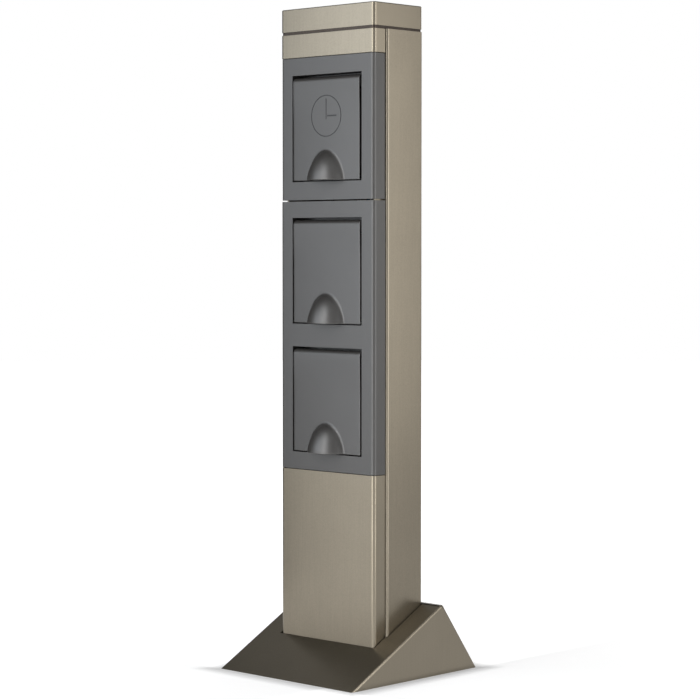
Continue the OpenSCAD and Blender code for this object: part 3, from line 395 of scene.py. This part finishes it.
def grip_inside(x, h, half, high):
    """Share inside a grip's outline, 1 at the middle of its foot and 0 on the outline, and its steepness."""
    h = max(h, 0.0)
    share = 1 - (x / half) ** 2 - (h / high) ** GRIP_POWER
    steep = math.hypot(2 * x / half ** 2, GRIP_POWER * h ** (GRIP_POWER - 1) / high ** GRIP_POWER)
    return share, steep


def grip_height(x, h):
    """How far the grip stands out, with a soft fillet round its foot."""
    share, steep = grip_inside(x, h, GRIP_HALF, GRIP_HIGH)
    if steep < 1e-6 or share > steep * FILLET_IN:
        return grip_rise(share, GRIP_OUT)[0]
    outside = -share / steep
    if outside > FILLET_OUT:
        return 0.0
    start, slope = grip_rise(steep * FILLET_IN, GRIP_OUT)
    length = FILLET_IN + FILLET_OUT
    t = (outside + FILLET_IN) / length
    return start * (1 - 3 * t ** 2 + 2 * t ** 3) - steep * slope * length * (t - 2 * t ** 2 + t ** 3)


def lid_profile():
    """The lid's section: (y, z, outward y, outward z, whether it carries the grip)."""
    points = [(LID_BACK, LID_LOW, 0, 0, 0)]
    for i in range(4):
        a = math.radians(90 * i / 3)
        points.append((LID_FRONT + EDGE_R * (1 - math.sin(a)), LID_LOW + EDGE_R * (1 - math.cos(a)),
                       -math.sin(a), -math.cos(a), 1))
    grip_rows_end = 30
    z = LID_LOW + EDGE_R
    while z < grip_rows_end:
        z += LID_STEP
        points.append((LID_FRONT, z, -1, 0, 1))
    for z in (34, 40, 48, 54, 58, 62, 66, 70, 74, 78, 81):
        points.append((LID_FRONT, z, -1, 0, 1))
    end = 180 + math.degrees(math.asin((PIN_Y - LID_BACK) / BARREL_R)) + 90
    steps = 26
    for i in range(steps + 1):
        a = math.radians(180 - end * i / steps)
        rise = BARREL_TOP if math.sin(a) > 0 else BARREL_R
        points.append((PIN_Y + BARREL_R * math.cos(a), PIN_Z + rise * math.sin(a),
                       math.cos(a), math.sin(a), 0))
    return points


def lid_columns(half):
    """Positions across half a lid, close together at the grip, and how far the section is drawn in at its end."""
    columns = []
    for i in range(5):
        a = math.radians(90 * i / 4)
        columns.append((half - EDGE_R * (1 - math.sin(a)), EDGE_R * (1 - math.cos(a))))
    for x in (38, 36, 34, 32, 30, 28, 26, 25):
        columns.append((x, 0.0))
    x = 24.0
    while x > 0.01:
        columns.append((x, 0.0))
        x -= LID_STEP
    return sorted(columns)


def lid_place(x, y, z):
    """A lid's point in metres from its pin."""
    return Vector((x * MM, (y - PIN_Y) * MM, (z - PIN_Z) * MM))


def lid_point(point, x, inset):
    """A point of the skin: the front is bowed a little from side to side, less so towards the pin."""
    y, z, out_y, out_z, carries = point
    if carries:
        fade = min(max((BOW_END - z) / BOW_FADE, 0), 1)
        y -= grip_height(x, z - LID_LOW - EDGE_R) - LID_BOW * (x / LID_HALF) ** 2 * fade * fade * (3 - 2 * fade)
    return lid_place(x, y - out_y * inset, z - out_z * inset)


def tube(points, columns):
    """Closed skin swept along X: one ring of points for each column, and a face at both ends."""
    net = bmesh.new()
    rings = [[net.verts.new(lid_point(point, x, inset)) for point in points] for x, inset in columns]
    count = len(points)
    for first, second in zip(rings, rings[1:]):
        for i in range(count):
            j = (i + 1) % count
            net.faces.new((first[i], first[j], second[j], second[i]))
    net.faces.new(list(reversed(rings[0])))
    net.faces.new(rings[-1])
    bmesh.ops.recalc_face_normals(net, faces=net.faces)
    return net


def box_net(low, high, net=None):
    """A box between two corners, on its own or added to a net."""
    net = net or bmesh.new()
    bmesh.ops.create_cube(net, size=1.0, matrix=Matrix.Translation(
        [(a + b) / 2 for a, b in zip(low, high)]) @ Matrix.Diagonal([b - a for a, b in zip(low, high)] + [1]))
    return net


def lid_box(x0, x1, y0, y1, z0, z1):
    return box_net(lid_place(x0, y0, z0), lid_place(x1, y1, z1))


def lid_rod(radius, x0, x1):
    """A rod along the lid's pin."""
    net = bmesh.new()
    bmesh.ops.create_cone(net, segments=40, cap_ends=True, radius1=radius * MM, radius2=radius * MM,
                          depth=(x1 - x0) * MM, matrix=Matrix.Translation(lid_place((x0 + x1) / 2, PIN_Y, PIN_Z))
                          @ Matrix.Rotation(QUARTER, 4, "Y"))
    return net


def carved(thing, net, operation="DIFFERENCE", inner=None):
    """Cuts a shape out of a thing, or joins it on. The cut's faces can have a material of their own."""
    tool = new_object("tool", mesh_from(net, "tool"))
    cut = thing.modifiers.new("cut", "BOOLEAN")
    cut.operation = operation
    cut.solver = "EXACT"
    cut.object = tool
    if inner:
        tool.data.materials.append(inner)
        cut.material_mode = "TRANSFER"
    applied(thing)
    mesh = tool.data
    bpy.data.objects.remove(tool)
    bpy.data.meshes.remove(mesh)
    return thing


def grip_pocket():
    """The finger space under a grip: the grip's own form, one wall smaller."""
    half, high, out = GRIP_HALF - GRIP_WALL, GRIP_HIGH - GRIP_WALL, GRIP_OUT - GRIP_WALL
    below, rows, half_columns = 2, 24, 16
    net = bmesh.new()
    for row in range(rows + 1):
        h = -below + (high + below) * row / rows
        width = half * math.sqrt(max(1 - (max(h, 0) / high) ** GRIP_POWER, 0))
        for column in range(-half_columns, half_columns + 1):
            x = width * math.sin(QUARTER * column / half_columns)
            deep = grip_rise(grip_inside(x, h, half, high)[0], out)[0]
            net.verts.new(lid_place(x, LID_FRONT - deep, LID_LOW + h))
    bmesh.ops.remove_doubles(net, verts=net.verts, dist=0.005 * MM)
    hull = bmesh.ops.convex_hull(net, input=net.verts)
    bmesh.ops.delete(net, geom=list(set(hull["geom_unused"] + hull["geom_interior"])), context="VERTS")
    bmesh.ops.recalc_face_normals(net, faces=net.faces)
    return net


def ring_walls(net, rings):
    """Joins an outer and an inner outline at two depths into a closed frame."""
    front_out, front_in, back_out, back_in = rings
    count = len(front_out)
    for i in range(count):
        j = (i + 1) % count
        for first, second in ((front_out, back_out), (back_out, back_in), (back_in, front_in), (front_in, front_out)):
            net.faces.new((first[i], first[j], second[j], second[i]))


def skirt_net():
    """The frame behind a lid that closes on the seal."""
    net = bmesh.new()
    rings = []
    for y in (LID_BACK - 0.1, SKIRT_BACK):
        for wall in (0, SKIRT_WALL):
            half, low, high = SKIRT_HALF - wall, SKIRT_LOW + wall, SKIRT_HIGH - wall
            corner = max(SKIRT_CORNER_R - wall, SKIRT_CORNER_LEAST)
            ring = []
            for sx, sz, start in ((1, -1, 270), (1, 1, 0), (-1, 1, 90), (-1, -1, 180)):
                for i in range(5):
                    a = math.radians(start + 90 * i / 4)
                    z = (high if sz > 0 else low) - sz * corner
                    ring.append(net.verts.new(lid_place(sx * (half - corner) + corner * math.cos(a), y,
                                                        z + corner * math.sin(a))))
            rings.append(ring)
    ring_walls(net, rings)
    bmesh.ops.recalc_face_normals(net, faces=net.faces)
    return net


def lid_about_pin(name, left, right):
    """One lid with its grip, pocket, pin hole, spring space, skirt and thin rim, about its own pin."""
    columns = [(-x, inset) for x, inset in reversed(lid_columns(left))] + [(0.0, 0.0)] + lid_columns(right)
    lid = new_object(name, mesh_from(tube(lid_profile(), columns), name))
    carved(lid, grip_pocket())
    carved(lid, skirt_net(), "UNION")
    carved(lid, lid_rod(PIN_HOLE_R, -PAST_LID, PAST_LID))
    carved(lid, lid_rod(SPRING_R, -PAST_LID, SPRING_END))
    carved(lid, lid_box(-PAST_LID, SPRING_SLOT_END, PIN_Y, PIN_Y + SPRING_SLOT_REACH,
                        PIN_Z - SPRING_SLOT_REACH, PIN_Z + SPRING_SLOT_REACH))
    for x0, x1 in ((-left - 1, RIM_WIDE - left), (right - RIM_WIDE, right + 1)):
        carved(lid, lid_box(x0, x1, LID_FRONT + RIM, LID_BACK + 0.5, -1, PIN_Z - BARREL_R - 1))
    return lid


def clock_net():
    """The clock face cut into the timer's lid: a ring, a long upright hand and a short level one."""
    line, ring_r, centre_z, steps = 0.8, 17.6, 56.3, 96
    front, back = -1.0, LID_FRONT + 0.35
    net = bmesh.new()
    rings = []
    for y in (front, back):
        for r in (ring_r + line / 2, ring_r - line / 2):
            turns = [2 * math.pi * i / steps for i in range(steps)]
            rings.append([net.verts.new(lid_place(r * math.cos(a), y, centre_z + r * math.sin(a))) for a in turns])
    ring_walls(net, rings)
    for x0, x1, z0, z1 in ((-0.4, 0.4, -3, 14.8), (1.5, 12.2, -0.6, 0.6)):
        box_net(lid_place(x0, front, centre_z + z0), lid_place(x1, back, centre_z + z1), net)
    bmesh.ops.recalc_face_normals(net, faces=net.faces)
    return net


def hung(lid, lid_node, pin_node, body):
    """Puts a lid on its pin and its body."""
    low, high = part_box(pin_node)
    lid.data.transform(Matrix.Translation((0, (low[1] + high[1]) / 2, (low[2] + high[2]) / 2)))
    smooth(lid, 34)
    finish_piece(lid, housing_plastic, body, lid_node)


# The timer's lid sits a little to the left in its opening, and the gap on the right of all lids is a little wider
timer_lid = lid_about_pin("timer_lid_finished", LID_HALF + 0.3, LID_HALF - 1.1)
timer_lid.data.materials.append(housing_plastic)
carved(timer_lid, clock_net(), inner=symbol_plastic)
upper_lid = lid_about_pin("upper_socket_lid_finished", LID_HALF, LID_HALF - 0.4)
lower_lid = new_object("lower_socket_lid_finished", upper_lid.data.copy())
hung(timer_lid, "timer_lid", "timer_lid_pin", "timer_lid")
hung(upper_lid, "upper_socket_lid", "upper_lid_pin", "upper_lid")
hung(lower_lid, "lower_socket_lid", "lower_lid_pin", "lower_lid")


def cut_off(net, x, side):
    """Keeps what lies on one side of an upright plane, and closes the cut."""
    geometry = net.verts[:] + net.edges[:] + net.faces[:]
    bmesh.ops.bisect_plane(net, geom=geometry, dist=1e-7, plane_co=(x, 0, 0), plane_no=(side, 0, 0),
                           clear_outer=True)
    bmesh.ops.holes_fill(net, edges=[edge for edge in net.edges if edge.is_boundary], sides=0)


def split_spring(name, body):
    """A lid's spring: its coil stays on the post, and its last turn and leg turn with the lid."""
    wire_angle = 50
    turn_wide = 1.7 * MM
    last_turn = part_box(name)[1][0] - turn_wide
    gap = 0.02 * MM  # so thin that it can't be seen, and the two cut faces never meet
    coil = clean_copy(name, name + "_coil", lambda net: cut_off(net, last_turn - gap, 1))
    finish_piece(smooth(coil, wire_angle), spring_steel, "post", name)
    leg = clean_copy(name, name + "_leg", lambda net: cut_off(net, last_turn, -1))
    finish_piece(smooth(leg, wire_angle), spring_steel, body)


for lid_body in ("timer_lid", "upper_lid", "lower_lid"):
    split_spring(lid_body + "_spring", lid_body)


# Geometry Nodes trees for what repeats


def new_tree(name, sizes):
    """A tree with named inputs for its sizes."""
    tree = bpy.data.node_groups.new(name, "GeometryNodeTree")
    tree.interface.new_socket("Geometry", in_out="INPUT", socket_type="NodeSocketGeometry")
    for label, kind in sizes.items():
        tree.interface.new_socket(label, in_out="INPUT", socket_type="NodeSocket" + kind)
    tree.interface.new_socket("Geometry", in_out="OUTPUT", socket_type="NodeSocketGeometry")
    return tree, add(tree, "NodeGroupInput").outputs


def end_tree(tree, geometry, material):
    """Ends a tree with real meshes and their material."""
    real = add(tree, "GeometryNodeRealizeInstances", {"Geometry": geometry})
    done = add(tree, "GeometryNodeSetMaterial", {"Geometry": real.outputs[0], "Material": material})
    add(tree, "NodeGroupOutput", {"Geometry": done.outputs[0]})
    return tree


def grown(name, tree, values, points=((0, 0, 0),)):
    """Runs a tree on a mesh of points and keeps the result as a plain mesh."""
    seed = bpy.data.meshes.new(name + "_seed")
    seed.from_pydata(list(points), [], [])
    thing = new_object(name, seed)
    modifier = thing.modifiers.new("grow", "NODES")
    modifier.node_group = tree
    for item in tree.interface.items_tree:
        if item.item_type == "SOCKET" and item.in_out == "INPUT" and item.name in values:
            modifier[item.identifier] = values[item.name]
    return applied(thing)


def screw_tree():
    """Screws with a crossed recess at every point."""
    tree, sizes = new_tree("crossed_screws", {
        "Head radius": "Float", "Head foot radius": "Float", "Head height": "Float", "Head place": "Vector",
        "Shank radius": "Float", "Shank length": "Float", "Shank place": "Vector", "Blade": "Vector",
        "Turn": "Rotation", "Material": "Material"})
    head = add(tree, "GeometryNodeMeshCone", {
        "Vertices": 40, "Side Segments": 1, "Radius Top": sizes["Head radius"],
        "Radius Bottom": sizes["Head foot radius"], "Depth": sizes["Head height"]})
    head = add(tree, "GeometryNodeTransform", {
        "Geometry": head.outputs["Mesh"], "Translation": sizes["Head place"]})
    shank = add(tree, "GeometryNodeMeshCylinder", {
        "Vertices": 24, "Radius": sizes["Shank radius"], "Depth": sizes["Shank length"]})
    shank = add(tree, "GeometryNodeTransform", {
        "Geometry": shank.outputs["Mesh"], "Translation": sizes["Shank place"]})
    blade = add(tree, "GeometryNodeMeshCube", {"Size": sizes["Blade"]}).outputs["Mesh"]
    crossed = add(tree, "GeometryNodeTransform", {
        "Geometry": blade, "Rotation": (0, 0, QUARTER)}).outputs["Geometry"]
    cut = add(tree, "GeometryNodeMeshBoolean", {
        "Mesh 1": head.outputs["Geometry"], "Mesh 2": [blade, crossed]}, operation="DIFFERENCE")
    whole = add(tree, "GeometryNodeJoinGeometry", {"Geometry": [cut.outputs["Mesh"], shank.outputs["Geometry"]]})
    dots = add(tree, "GeometryNodeInstanceOnPoints", {
        "Points": sizes["Geometry"], "Instance": whole.outputs[0], "Rotation": sizes["Turn"]})
    return end_tree(tree, dots.outputs[0], sizes["Material"])


def block_tree():
    """Blocks with a crown, evenly round a circle in the XZ plane, each with its length towards the middle."""
    tree, sizes = new_tree("ring_of_blocks", {
        "Count": "Int", "Step": "Float", "Radius": "Float", "Block": "Vector", "Crown height": "Float",
        "Crown": "Float", "Middle": "Vector", "Material": "Material"})
    block = add(tree, "GeometryNodeMeshCube", {"Size": sizes["Block"]})
    place = add(tree, "ShaderNodeSeparateXYZ", {0: add(tree, "GeometryNodeInputPosition").outputs[0]})
    above = add(tree, "ShaderNodeMath", {0: place.outputs[2], 1: 0.0}, operation="GREATER_THAN")
    crown = add(tree, "GeometryNodeExtrudeMesh", {
        "Mesh": block.outputs["Mesh"], "Selection": above.outputs[0], "Offset Scale": sizes["Crown height"]})
    crown = add(tree, "GeometryNodeScaleElements", {
        "Geometry": crown.outputs["Mesh"], "Selection": crown.outputs["Top"], "Scale": sizes["Crown"]})
    ring = add(tree, "GeometryNodeMeshCircle", {"Vertices": sizes["Count"], "Radius": sizes["Radius"]})
    index = add(tree, "GeometryNodeInputIndex")
    angle = add(tree, "ShaderNodeMath", {0: index.outputs[0], 1: sizes["Step"]}, operation="MULTIPLY")
    spin = add(tree, "ShaderNodeCombineXYZ", {"Z": angle.outputs[0]})
    dots = add(tree, "GeometryNodeInstanceOnPoints", {
        "Points": ring.outputs["Mesh"], "Instance": crown.outputs[0], "Rotation": spin.outputs[0]})
    stood = add(tree, "GeometryNodeTransform", {
        "Geometry": dots.outputs[0], "Rotation": (QUARTER, 0, 0), "Translation": sizes["Middle"]})
    return end_tree(tree, stood.outputs[0], sizes["Material"])


screws = screw_tree()
blocks = block_tree()


def screw_set(name, node_name, points, turn, head, foot, height, shank, length, recess):
    """Screws whose heads' tops lie at the points: radii of the head, its foot and the shank, and lengths, in mm."""
    blade = (1.15 * head * MM, 0.24 * head * MM, 2 * recess * MM)
    piece = grown(name, screws, {
        "Head radius": head * MM, "Head foot radius": foot * MM, "Head height": height * MM,
        "Head place": (0, 0, -height * MM), "Shank radius": shank * MM, "Shank length": length * MM,
        "Shank place": (0, 0, -(1.8 * height + length) / 2 * MM), "Blade": blade, "Turn": turn,
        "Material": zinc_steel}, points)
    smooth(piece)
    return finish_piece(piece, zinc_steel, "post", node_name)


HEAD_SUNK = 0.05 * MM
cap_low, cap_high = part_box("cap_screws")
cap_head = 3.2
cap_points = [(x, y, cap_high[2] - HEAD_SUNK) for x in (cap_low[0] + cap_head * MM, cap_high[0] - cap_head * MM)
              for y in (cap_low[1] + cap_head * MM, cap_high[1] - cap_head * MM)]
screw_set("cap_screw_set", "cap_screws", cap_points, (0, 0, 0),
          head=cap_head, foot=1.6, height=1.6, shank=1.6, length=34.0, recess=1.2)

insert_reach = 28 * MM
insert_points = []
for plate in ("timer_bezel", "upper_socket_insert", "lower_socket_insert"):
    low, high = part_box(plate)
    mid_z = (low[2] + high[2]) / 2
    for side in (-1, 1):
        insert_points.append((side * insert_reach, low[1] + HEAD_SUNK, mid_z + side * insert_reach))
screw_set("insert_screw_set", "insert_screws", insert_points, (QUARTER, 0, 0),
          head=3.2, foot=1.7, height=1.5, shank=1.7, length=6.5, recess=1.1)

# The foot's screws stand square on its back panel, which falls from the ridge to the floor
ridge_high, ridge_to_back, foot_back = 61.4, 45.5, 80
screw_x, screw_up, head_out = 50, 21, 2
slope = math.atan2(ridge_high, ridge_to_back)
foot_y = foot_back - screw_up * math.cos(slope) + head_out * math.sin(slope)
foot_z = screw_up * math.sin(slope) + head_out * math.cos(slope)
foot_points = [(side * screw_x * MM, foot_y * MM, foot_z * MM) for side in (-1, 1)]
screw_set("foot_screw_set", "foot_screws", foot_points, (-slope, 0, 0),
          head=3.8, foot=3.8, height=1.98, shank=2.0, length=6.5, recess=1.4)

# Dial: tappets, hour ticks and numbers, all inside the CAD ring of tappets
TAPPETS = 48
HOURS = 24
dial_low, dial_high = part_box("timer_tappets")
dial_middle = Vector((dial_low[i] + dial_high[i]) / 2 for i in range(3))
dial_out = (dial_high[0] - dial_low[0]) / 2
face_y = dial_low[1] + 0.4 * MM
tappet_r = dial_out - 1.9 * MM
tappet_pitch = 2 * math.pi * tappet_r / TAPPETS
tappets = grown("tappet_ring", blocks, {
    "Count": TAPPETS, "Step": 2 * math.pi / TAPPETS, "Radius": tappet_r,
    "Block": (3.8 * MM, 0.736 * tappet_pitch, 1.26 * MM), "Crown height": 0.54 * MM, "Crown": 0.72,
    "Middle": (dial_middle[0], dial_middle[1] + 0.27 * MM, dial_middle[2]), "Material": tappet_plastic})
smooth(tappets, 20)
finish_piece(tappets, tappet_plastic, "dial", "timer_tappets")
ticks = grown("hour_ticks", blocks, {
    "Count": HOURS, "Step": 2 * math.pi / HOURS, "Radius": dial_out - 5.4 * MM,
    "Block": (2.0 * MM, 0.35 * MM, 0.1 * MM), "Crown height": 0.03 * MM, "Crown": 0.9,
    "Middle": (dial_middle[0], face_y, dial_middle[2]), "Material": dial_ink})
finish_piece(ticks, dial_ink, "dial")


def dial_numbers():
    """The even hours round the dial, as thin raised print."""
    numbers_r = dial_out - 9.4 * MM
    net = bmesh.new()
    for hour in range(2, HOURS + 1, 2):
        curve = bpy.data.curves.new("hour", "FONT")
        curve.body = str(hour)
        curve.size = 4.0 * MM
        curve.align_x = "CENTER"
        curve.align_y = "CENTER"
        curve.extrude = 0.05 * MM
        label = new_object("hour", curve)
        graph = bpy.context.evaluated_depsgraph_get()
        mesh = bpy.data.meshes.new_from_object(label.evaluated_get(graph))
        mesh.transform(Matrix.Translation(dial_middle) @ Matrix.Rotation(2 * math.pi * hour / HOURS, 4, "Y")
                       @ Matrix.Translation((0, face_y - dial_middle[1], numbers_r))
                       @ Matrix.Rotation(QUARTER, 4, "X"))
        net.from_mesh(mesh)
        bpy.data.objects.remove(label)
        bpy.data.curves.remove(curve)
        bpy.data.meshes.remove(mesh)
    return new_object("hour_numbers", mesh_from(net, "hour_numbers"))


finish_piece(dial_numbers(), dial_ink, "dial")


# Studio: a pale floor, a pale wall all round, black flags, grey cards and soft lamps


def seen_light(tree, strength_seen, strength_unseen):
    """A strength that differs between what is seen, in glass and gloss too, and what lights the object."""
    path = add(tree, "ShaderNodeLightPath").outputs
    seen = add(tree, "ShaderNodeMath", {0: path["Is Camera Ray"], 1: path["Is Glossy Ray"]}, operation="MAXIMUM")
    seen = add(tree, "ShaderNodeMath", {0: seen.outputs[0], 1: path["Is Transmission Ray"]}, operation="MAXIMUM")
    return add(tree, "ShaderNodeMapRange", {
        "Value": seen.outputs[0], "To Min": strength_unseen, "To Max": strength_seen}).outputs["Result"]


def glowing(name, strength_seen, strength_unseen):
    """White paint that is as bright as it is asked to be, whatever light falls on it."""
    material, tree = new_material(name)
    shader = add(tree, "ShaderNodeEmission", {
        "Color": linear("#FFFFFF"), "Strength": seen_light(tree, strength_seen, strength_unseen)})
    add(tree, "ShaderNodeOutputMaterial", {"Surface": shader.outputs["Emission"]})
    return material


def staged(name, mesh, material):
    """A piece of the studio."""
    thing = new_object(name, mesh)
    thing.data.materials.append(material)
    return thing


def arc_wall(name, radius, low, high, start, stop, material, count=48):
    """An upright strip round the stage between two azimuths; 0 is in front of the post and 90 to its right."""
    net = bmesh.new()
    rows = []
    for i in range(count + 1):
        a = math.radians(start + (stop - start) * i / count)
        rows.append([net.verts.new((radius * math.sin(a), -radius * math.cos(a), z)) for z in (low, high)])
    for first, second in zip(rows, rows[1:]):
        net.faces.new((first[0], second[0], second[1], first[1]))
    return staged(name, mesh_from(net, name), material)


# The floor glows a little less near the foot, so that the foot's shadow shows there, and its colour and glow are
# painted darkest right beside it as a painted contact shadow.
# The painted contact shadow and the slow fade to white begin and end so many metres out along X or Y
CONTACT_FROM, CONTACT_TO, PAINTED_SHADOW_LEVEL = 0.079, 0.1, 0.4
FADE_FROM, FADE_TO, FADE_LEVEL = 0.08, 0.9, 0.69
FLOOR_HALF = 7
floor_paint, tree = new_material("floor_paint")
place = add(tree, "ShaderNodeTexCoord").outputs["Object"]
place = add(tree, "ShaderNodeVectorMath", {0: place}, operation="ABSOLUTE").outputs["Vector"]
place = add(tree, "ShaderNodeSeparateXYZ", {0: place}).outputs
reach = add(tree, "ShaderNodeMath", {0: place["X"], 1: place["Y"]}, operation="MAXIMUM").outputs[0]
# Painted contact shadow: darkens the floor's colour and glow right beside the foot
painted_contact_shadow = add(tree, "ShaderNodeMapRange", {
    "Value": reach, "From Min": CONTACT_FROM, "From Max": CONTACT_TO, "To Min": PAINTED_SHADOW_LEVEL,
    "To Max": 1.0}).outputs["Result"]
# The floor's colour, painted darker right beside the foot as a painted shadow
shade = add(tree, "ShaderNodeMix", {
    0: painted_contact_shadow, 6: linear("#808080"), 7: linear("#E0E0E0")}, data_type="RGBA").outputs[2]
# The floor's glow, lower near the foot and painted lower still right beside it as a painted shadow
level = add(tree, "ShaderNodeMapRange", {
    "Value": reach, "From Min": FADE_FROM, "From Max": FADE_TO, "To Min": FADE_LEVEL,
    "To Max": 1.0}).outputs["Result"]
for factor in (painted_contact_shadow, seen_light(tree, 1.0, 0.0)):
    level = add(tree, "ShaderNodeMath", {0: level, 1: factor}, operation="MULTIPLY").outputs[0]
floor_shader = add(tree, "ShaderNodeBsdfPrincipled", {
    "Base Color": shade, "Roughness": 0.9, "Specular IOR Level": 0.0,
    "Emission Color": linear("#FFFFFF"), "Emission Strength": level})
add(tree, "ShaderNodeOutputMaterial", {"Surface": floor_shader.outputs["BSDF"]})
floor_mesh = bpy.data.meshes.new("floor")
floor_mesh.from_pydata([(-FLOOR_HALF, -FLOOR_HALF, 0), (FLOOR_HALF, -FLOOR_HALF, 0), (FLOOR_HALF, FLOOR_HALF, 0),
                        (-FLOOR_HALF, FLOOR_HALF, 0)], [], [(0, 1, 2, 3)])
staged("floor", floor_mesh, floor_paint)
arc_wall("wall", 5.5, 0, 2.6, 0, 360, glowing("wall_paint", 1.0, 0.2), 96)

# Black flags darken what the left and the right ends of the smooth faces mirror
flag_cloth, tree = new_material("black_flag")
flag_shader = add(tree, "ShaderNodeBsdfPrincipled", {
    "Base Color": linear("#0A0A0A"), "Roughness": 0.9, "Specular IOR Level": 0.0})
add(tree, "ShaderNodeOutputMaterial", {"Surface": flag_shader.outputs["BSDF"]})
for name, radius, top, start, stop in (("flag_left", 0.4, 1.2, -90, -48), ("flag_far_left", 1.25, 0.9, -140, -90),
                                       ("flag_right", 0.9, 1.6, 141, 166)):
    flag = arc_wall(name, radius, 0.01, top, start, stop, flag_cloth)
    flag.visible_camera = False
    flag.visible_diffuse = False
    flag.visible_shadow = False

# A dim card on the camera's side keeps the middle of the rounded corners calm. Two grey cards just over the floor,
# one behind the right side and one before the front, darken what the lower parts mirror
dim_card = arc_wall("dim_card", 3.2, 0.02, 1.6, 16, 74, glowing("dim_card", 0.55, 0.15))
card_z = 0.002
card_corners = []
for x0, x1, y0, y1 in ((0.083, 1.8, -0.08, 1.8), (-0.25, 0.05, -0.2, -0.083)):
    card_corners += [(x0, y0, card_z), (x1, y0, card_z), (x1, y1, card_z), (x0, y1, card_z)]
card_mesh = bpy.data.meshes.new("floor_card")
card_mesh.from_pydata(card_corners, [], [(0, 1, 2, 3), (4, 5, 6, 7)])
floor_card = staged("floor_card", card_mesh, glowing("grey_card", 0.82, 0.12))
for card in (dim_card, floor_card):
    card.visible_camera = False
    card.visible_shadow = False

world = bpy.data.worlds.new("studio")
bpy.context.scene.world = world
world.use_nodes = True
world.node_tree.nodes.clear()
air = add(world.node_tree, "ShaderNodeBackground", {"Color": linear("#FFFFFF"), "Strength": 0.26})
add(world.node_tree, "ShaderNodeOutputWorld", {"Surface": air.outputs[0]})


def softbox(name, azimuth, height_mid, distance, width, height, power, tint, aim):
    """A rectangular lamp at an azimuth, aimed at a point of the post; sizes in metres and power in watts."""
    data = bpy.data.lights.new(name, "AREA")
    data.shape = "RECTANGLE"
    data.size = width
    data.size_y = height
    data.energy = power
    data.color = linear(tint)[:3]
    lamp = new_object(name, data)
    a = math.radians(azimuth)
    lamp.location = (math.sin(a) * distance, -math.cos(a) * distance, height_mid)
    lamp.visible_camera = False
    lamp.rotation_euler = (lamp.location - Vector(aim)).to_track_quat("Z", "Y").to_euler()


# Each lamp's azimuth, height over the floor, distance, width, height, power, tint and aim
# Light from the front and the left
softbox("front_box", -8, 1.2, 1.3, 1.0, 0.7, 4.0, "#FAFCFF", (0, 0, 0.45))
softbox("front_card", -32, 0.6, 1.3, 0.65, 0.9, 3.55, "#EAF4FF", (0, 0, 0.5))
# Narrow strips that the rounded corners mirror as bright lines
softbox("front_strip", 1, 0.41, 0.5, 0.16, 0.8, 1.65, "#FFFFFF", (0, 0, 0.41))
softbox("side_strip", 94, 0.41, 0.5, 0.12, 0.8, 1.05, "#FFFFFF", (0, 0, 0.41))
# Light on the right side, the back and the foot's right end
softbox("side_card", 122, 0.45, 1.3, 0.6, 0.65, 1.6, "#FFFDF8", (0, 0, 0.42))
softbox("back_box", 195, 0.8, 1.4, 0.8, 0.9, 3.5, "#FFFFFF", (0, 0, 0.4))
softbox("top_box", 62, 1.0, 0.6, 0.7, 0.7, 0.8, "#FFFFFF", (0.08, -0.03, 0.03))

# Camera, fitted to the straight edges of the post in the photograph
camera_data = bpy.data.cameras.new("camera")
camera_data.sensor_width = 36.0
camera_data.lens = 115.916
camera_data.clip_end = 50.0
camera = new_object("camera", camera_data)
camera.location = (1.3576, -1.4273, 0.3681)
camera.rotation_euler = (QUARTER - math.radians(2.561), 0, math.radians(43.529))
bpy.context.scene.camera = camera
bpy.context.scene.view_settings.view_transform = "Standard"
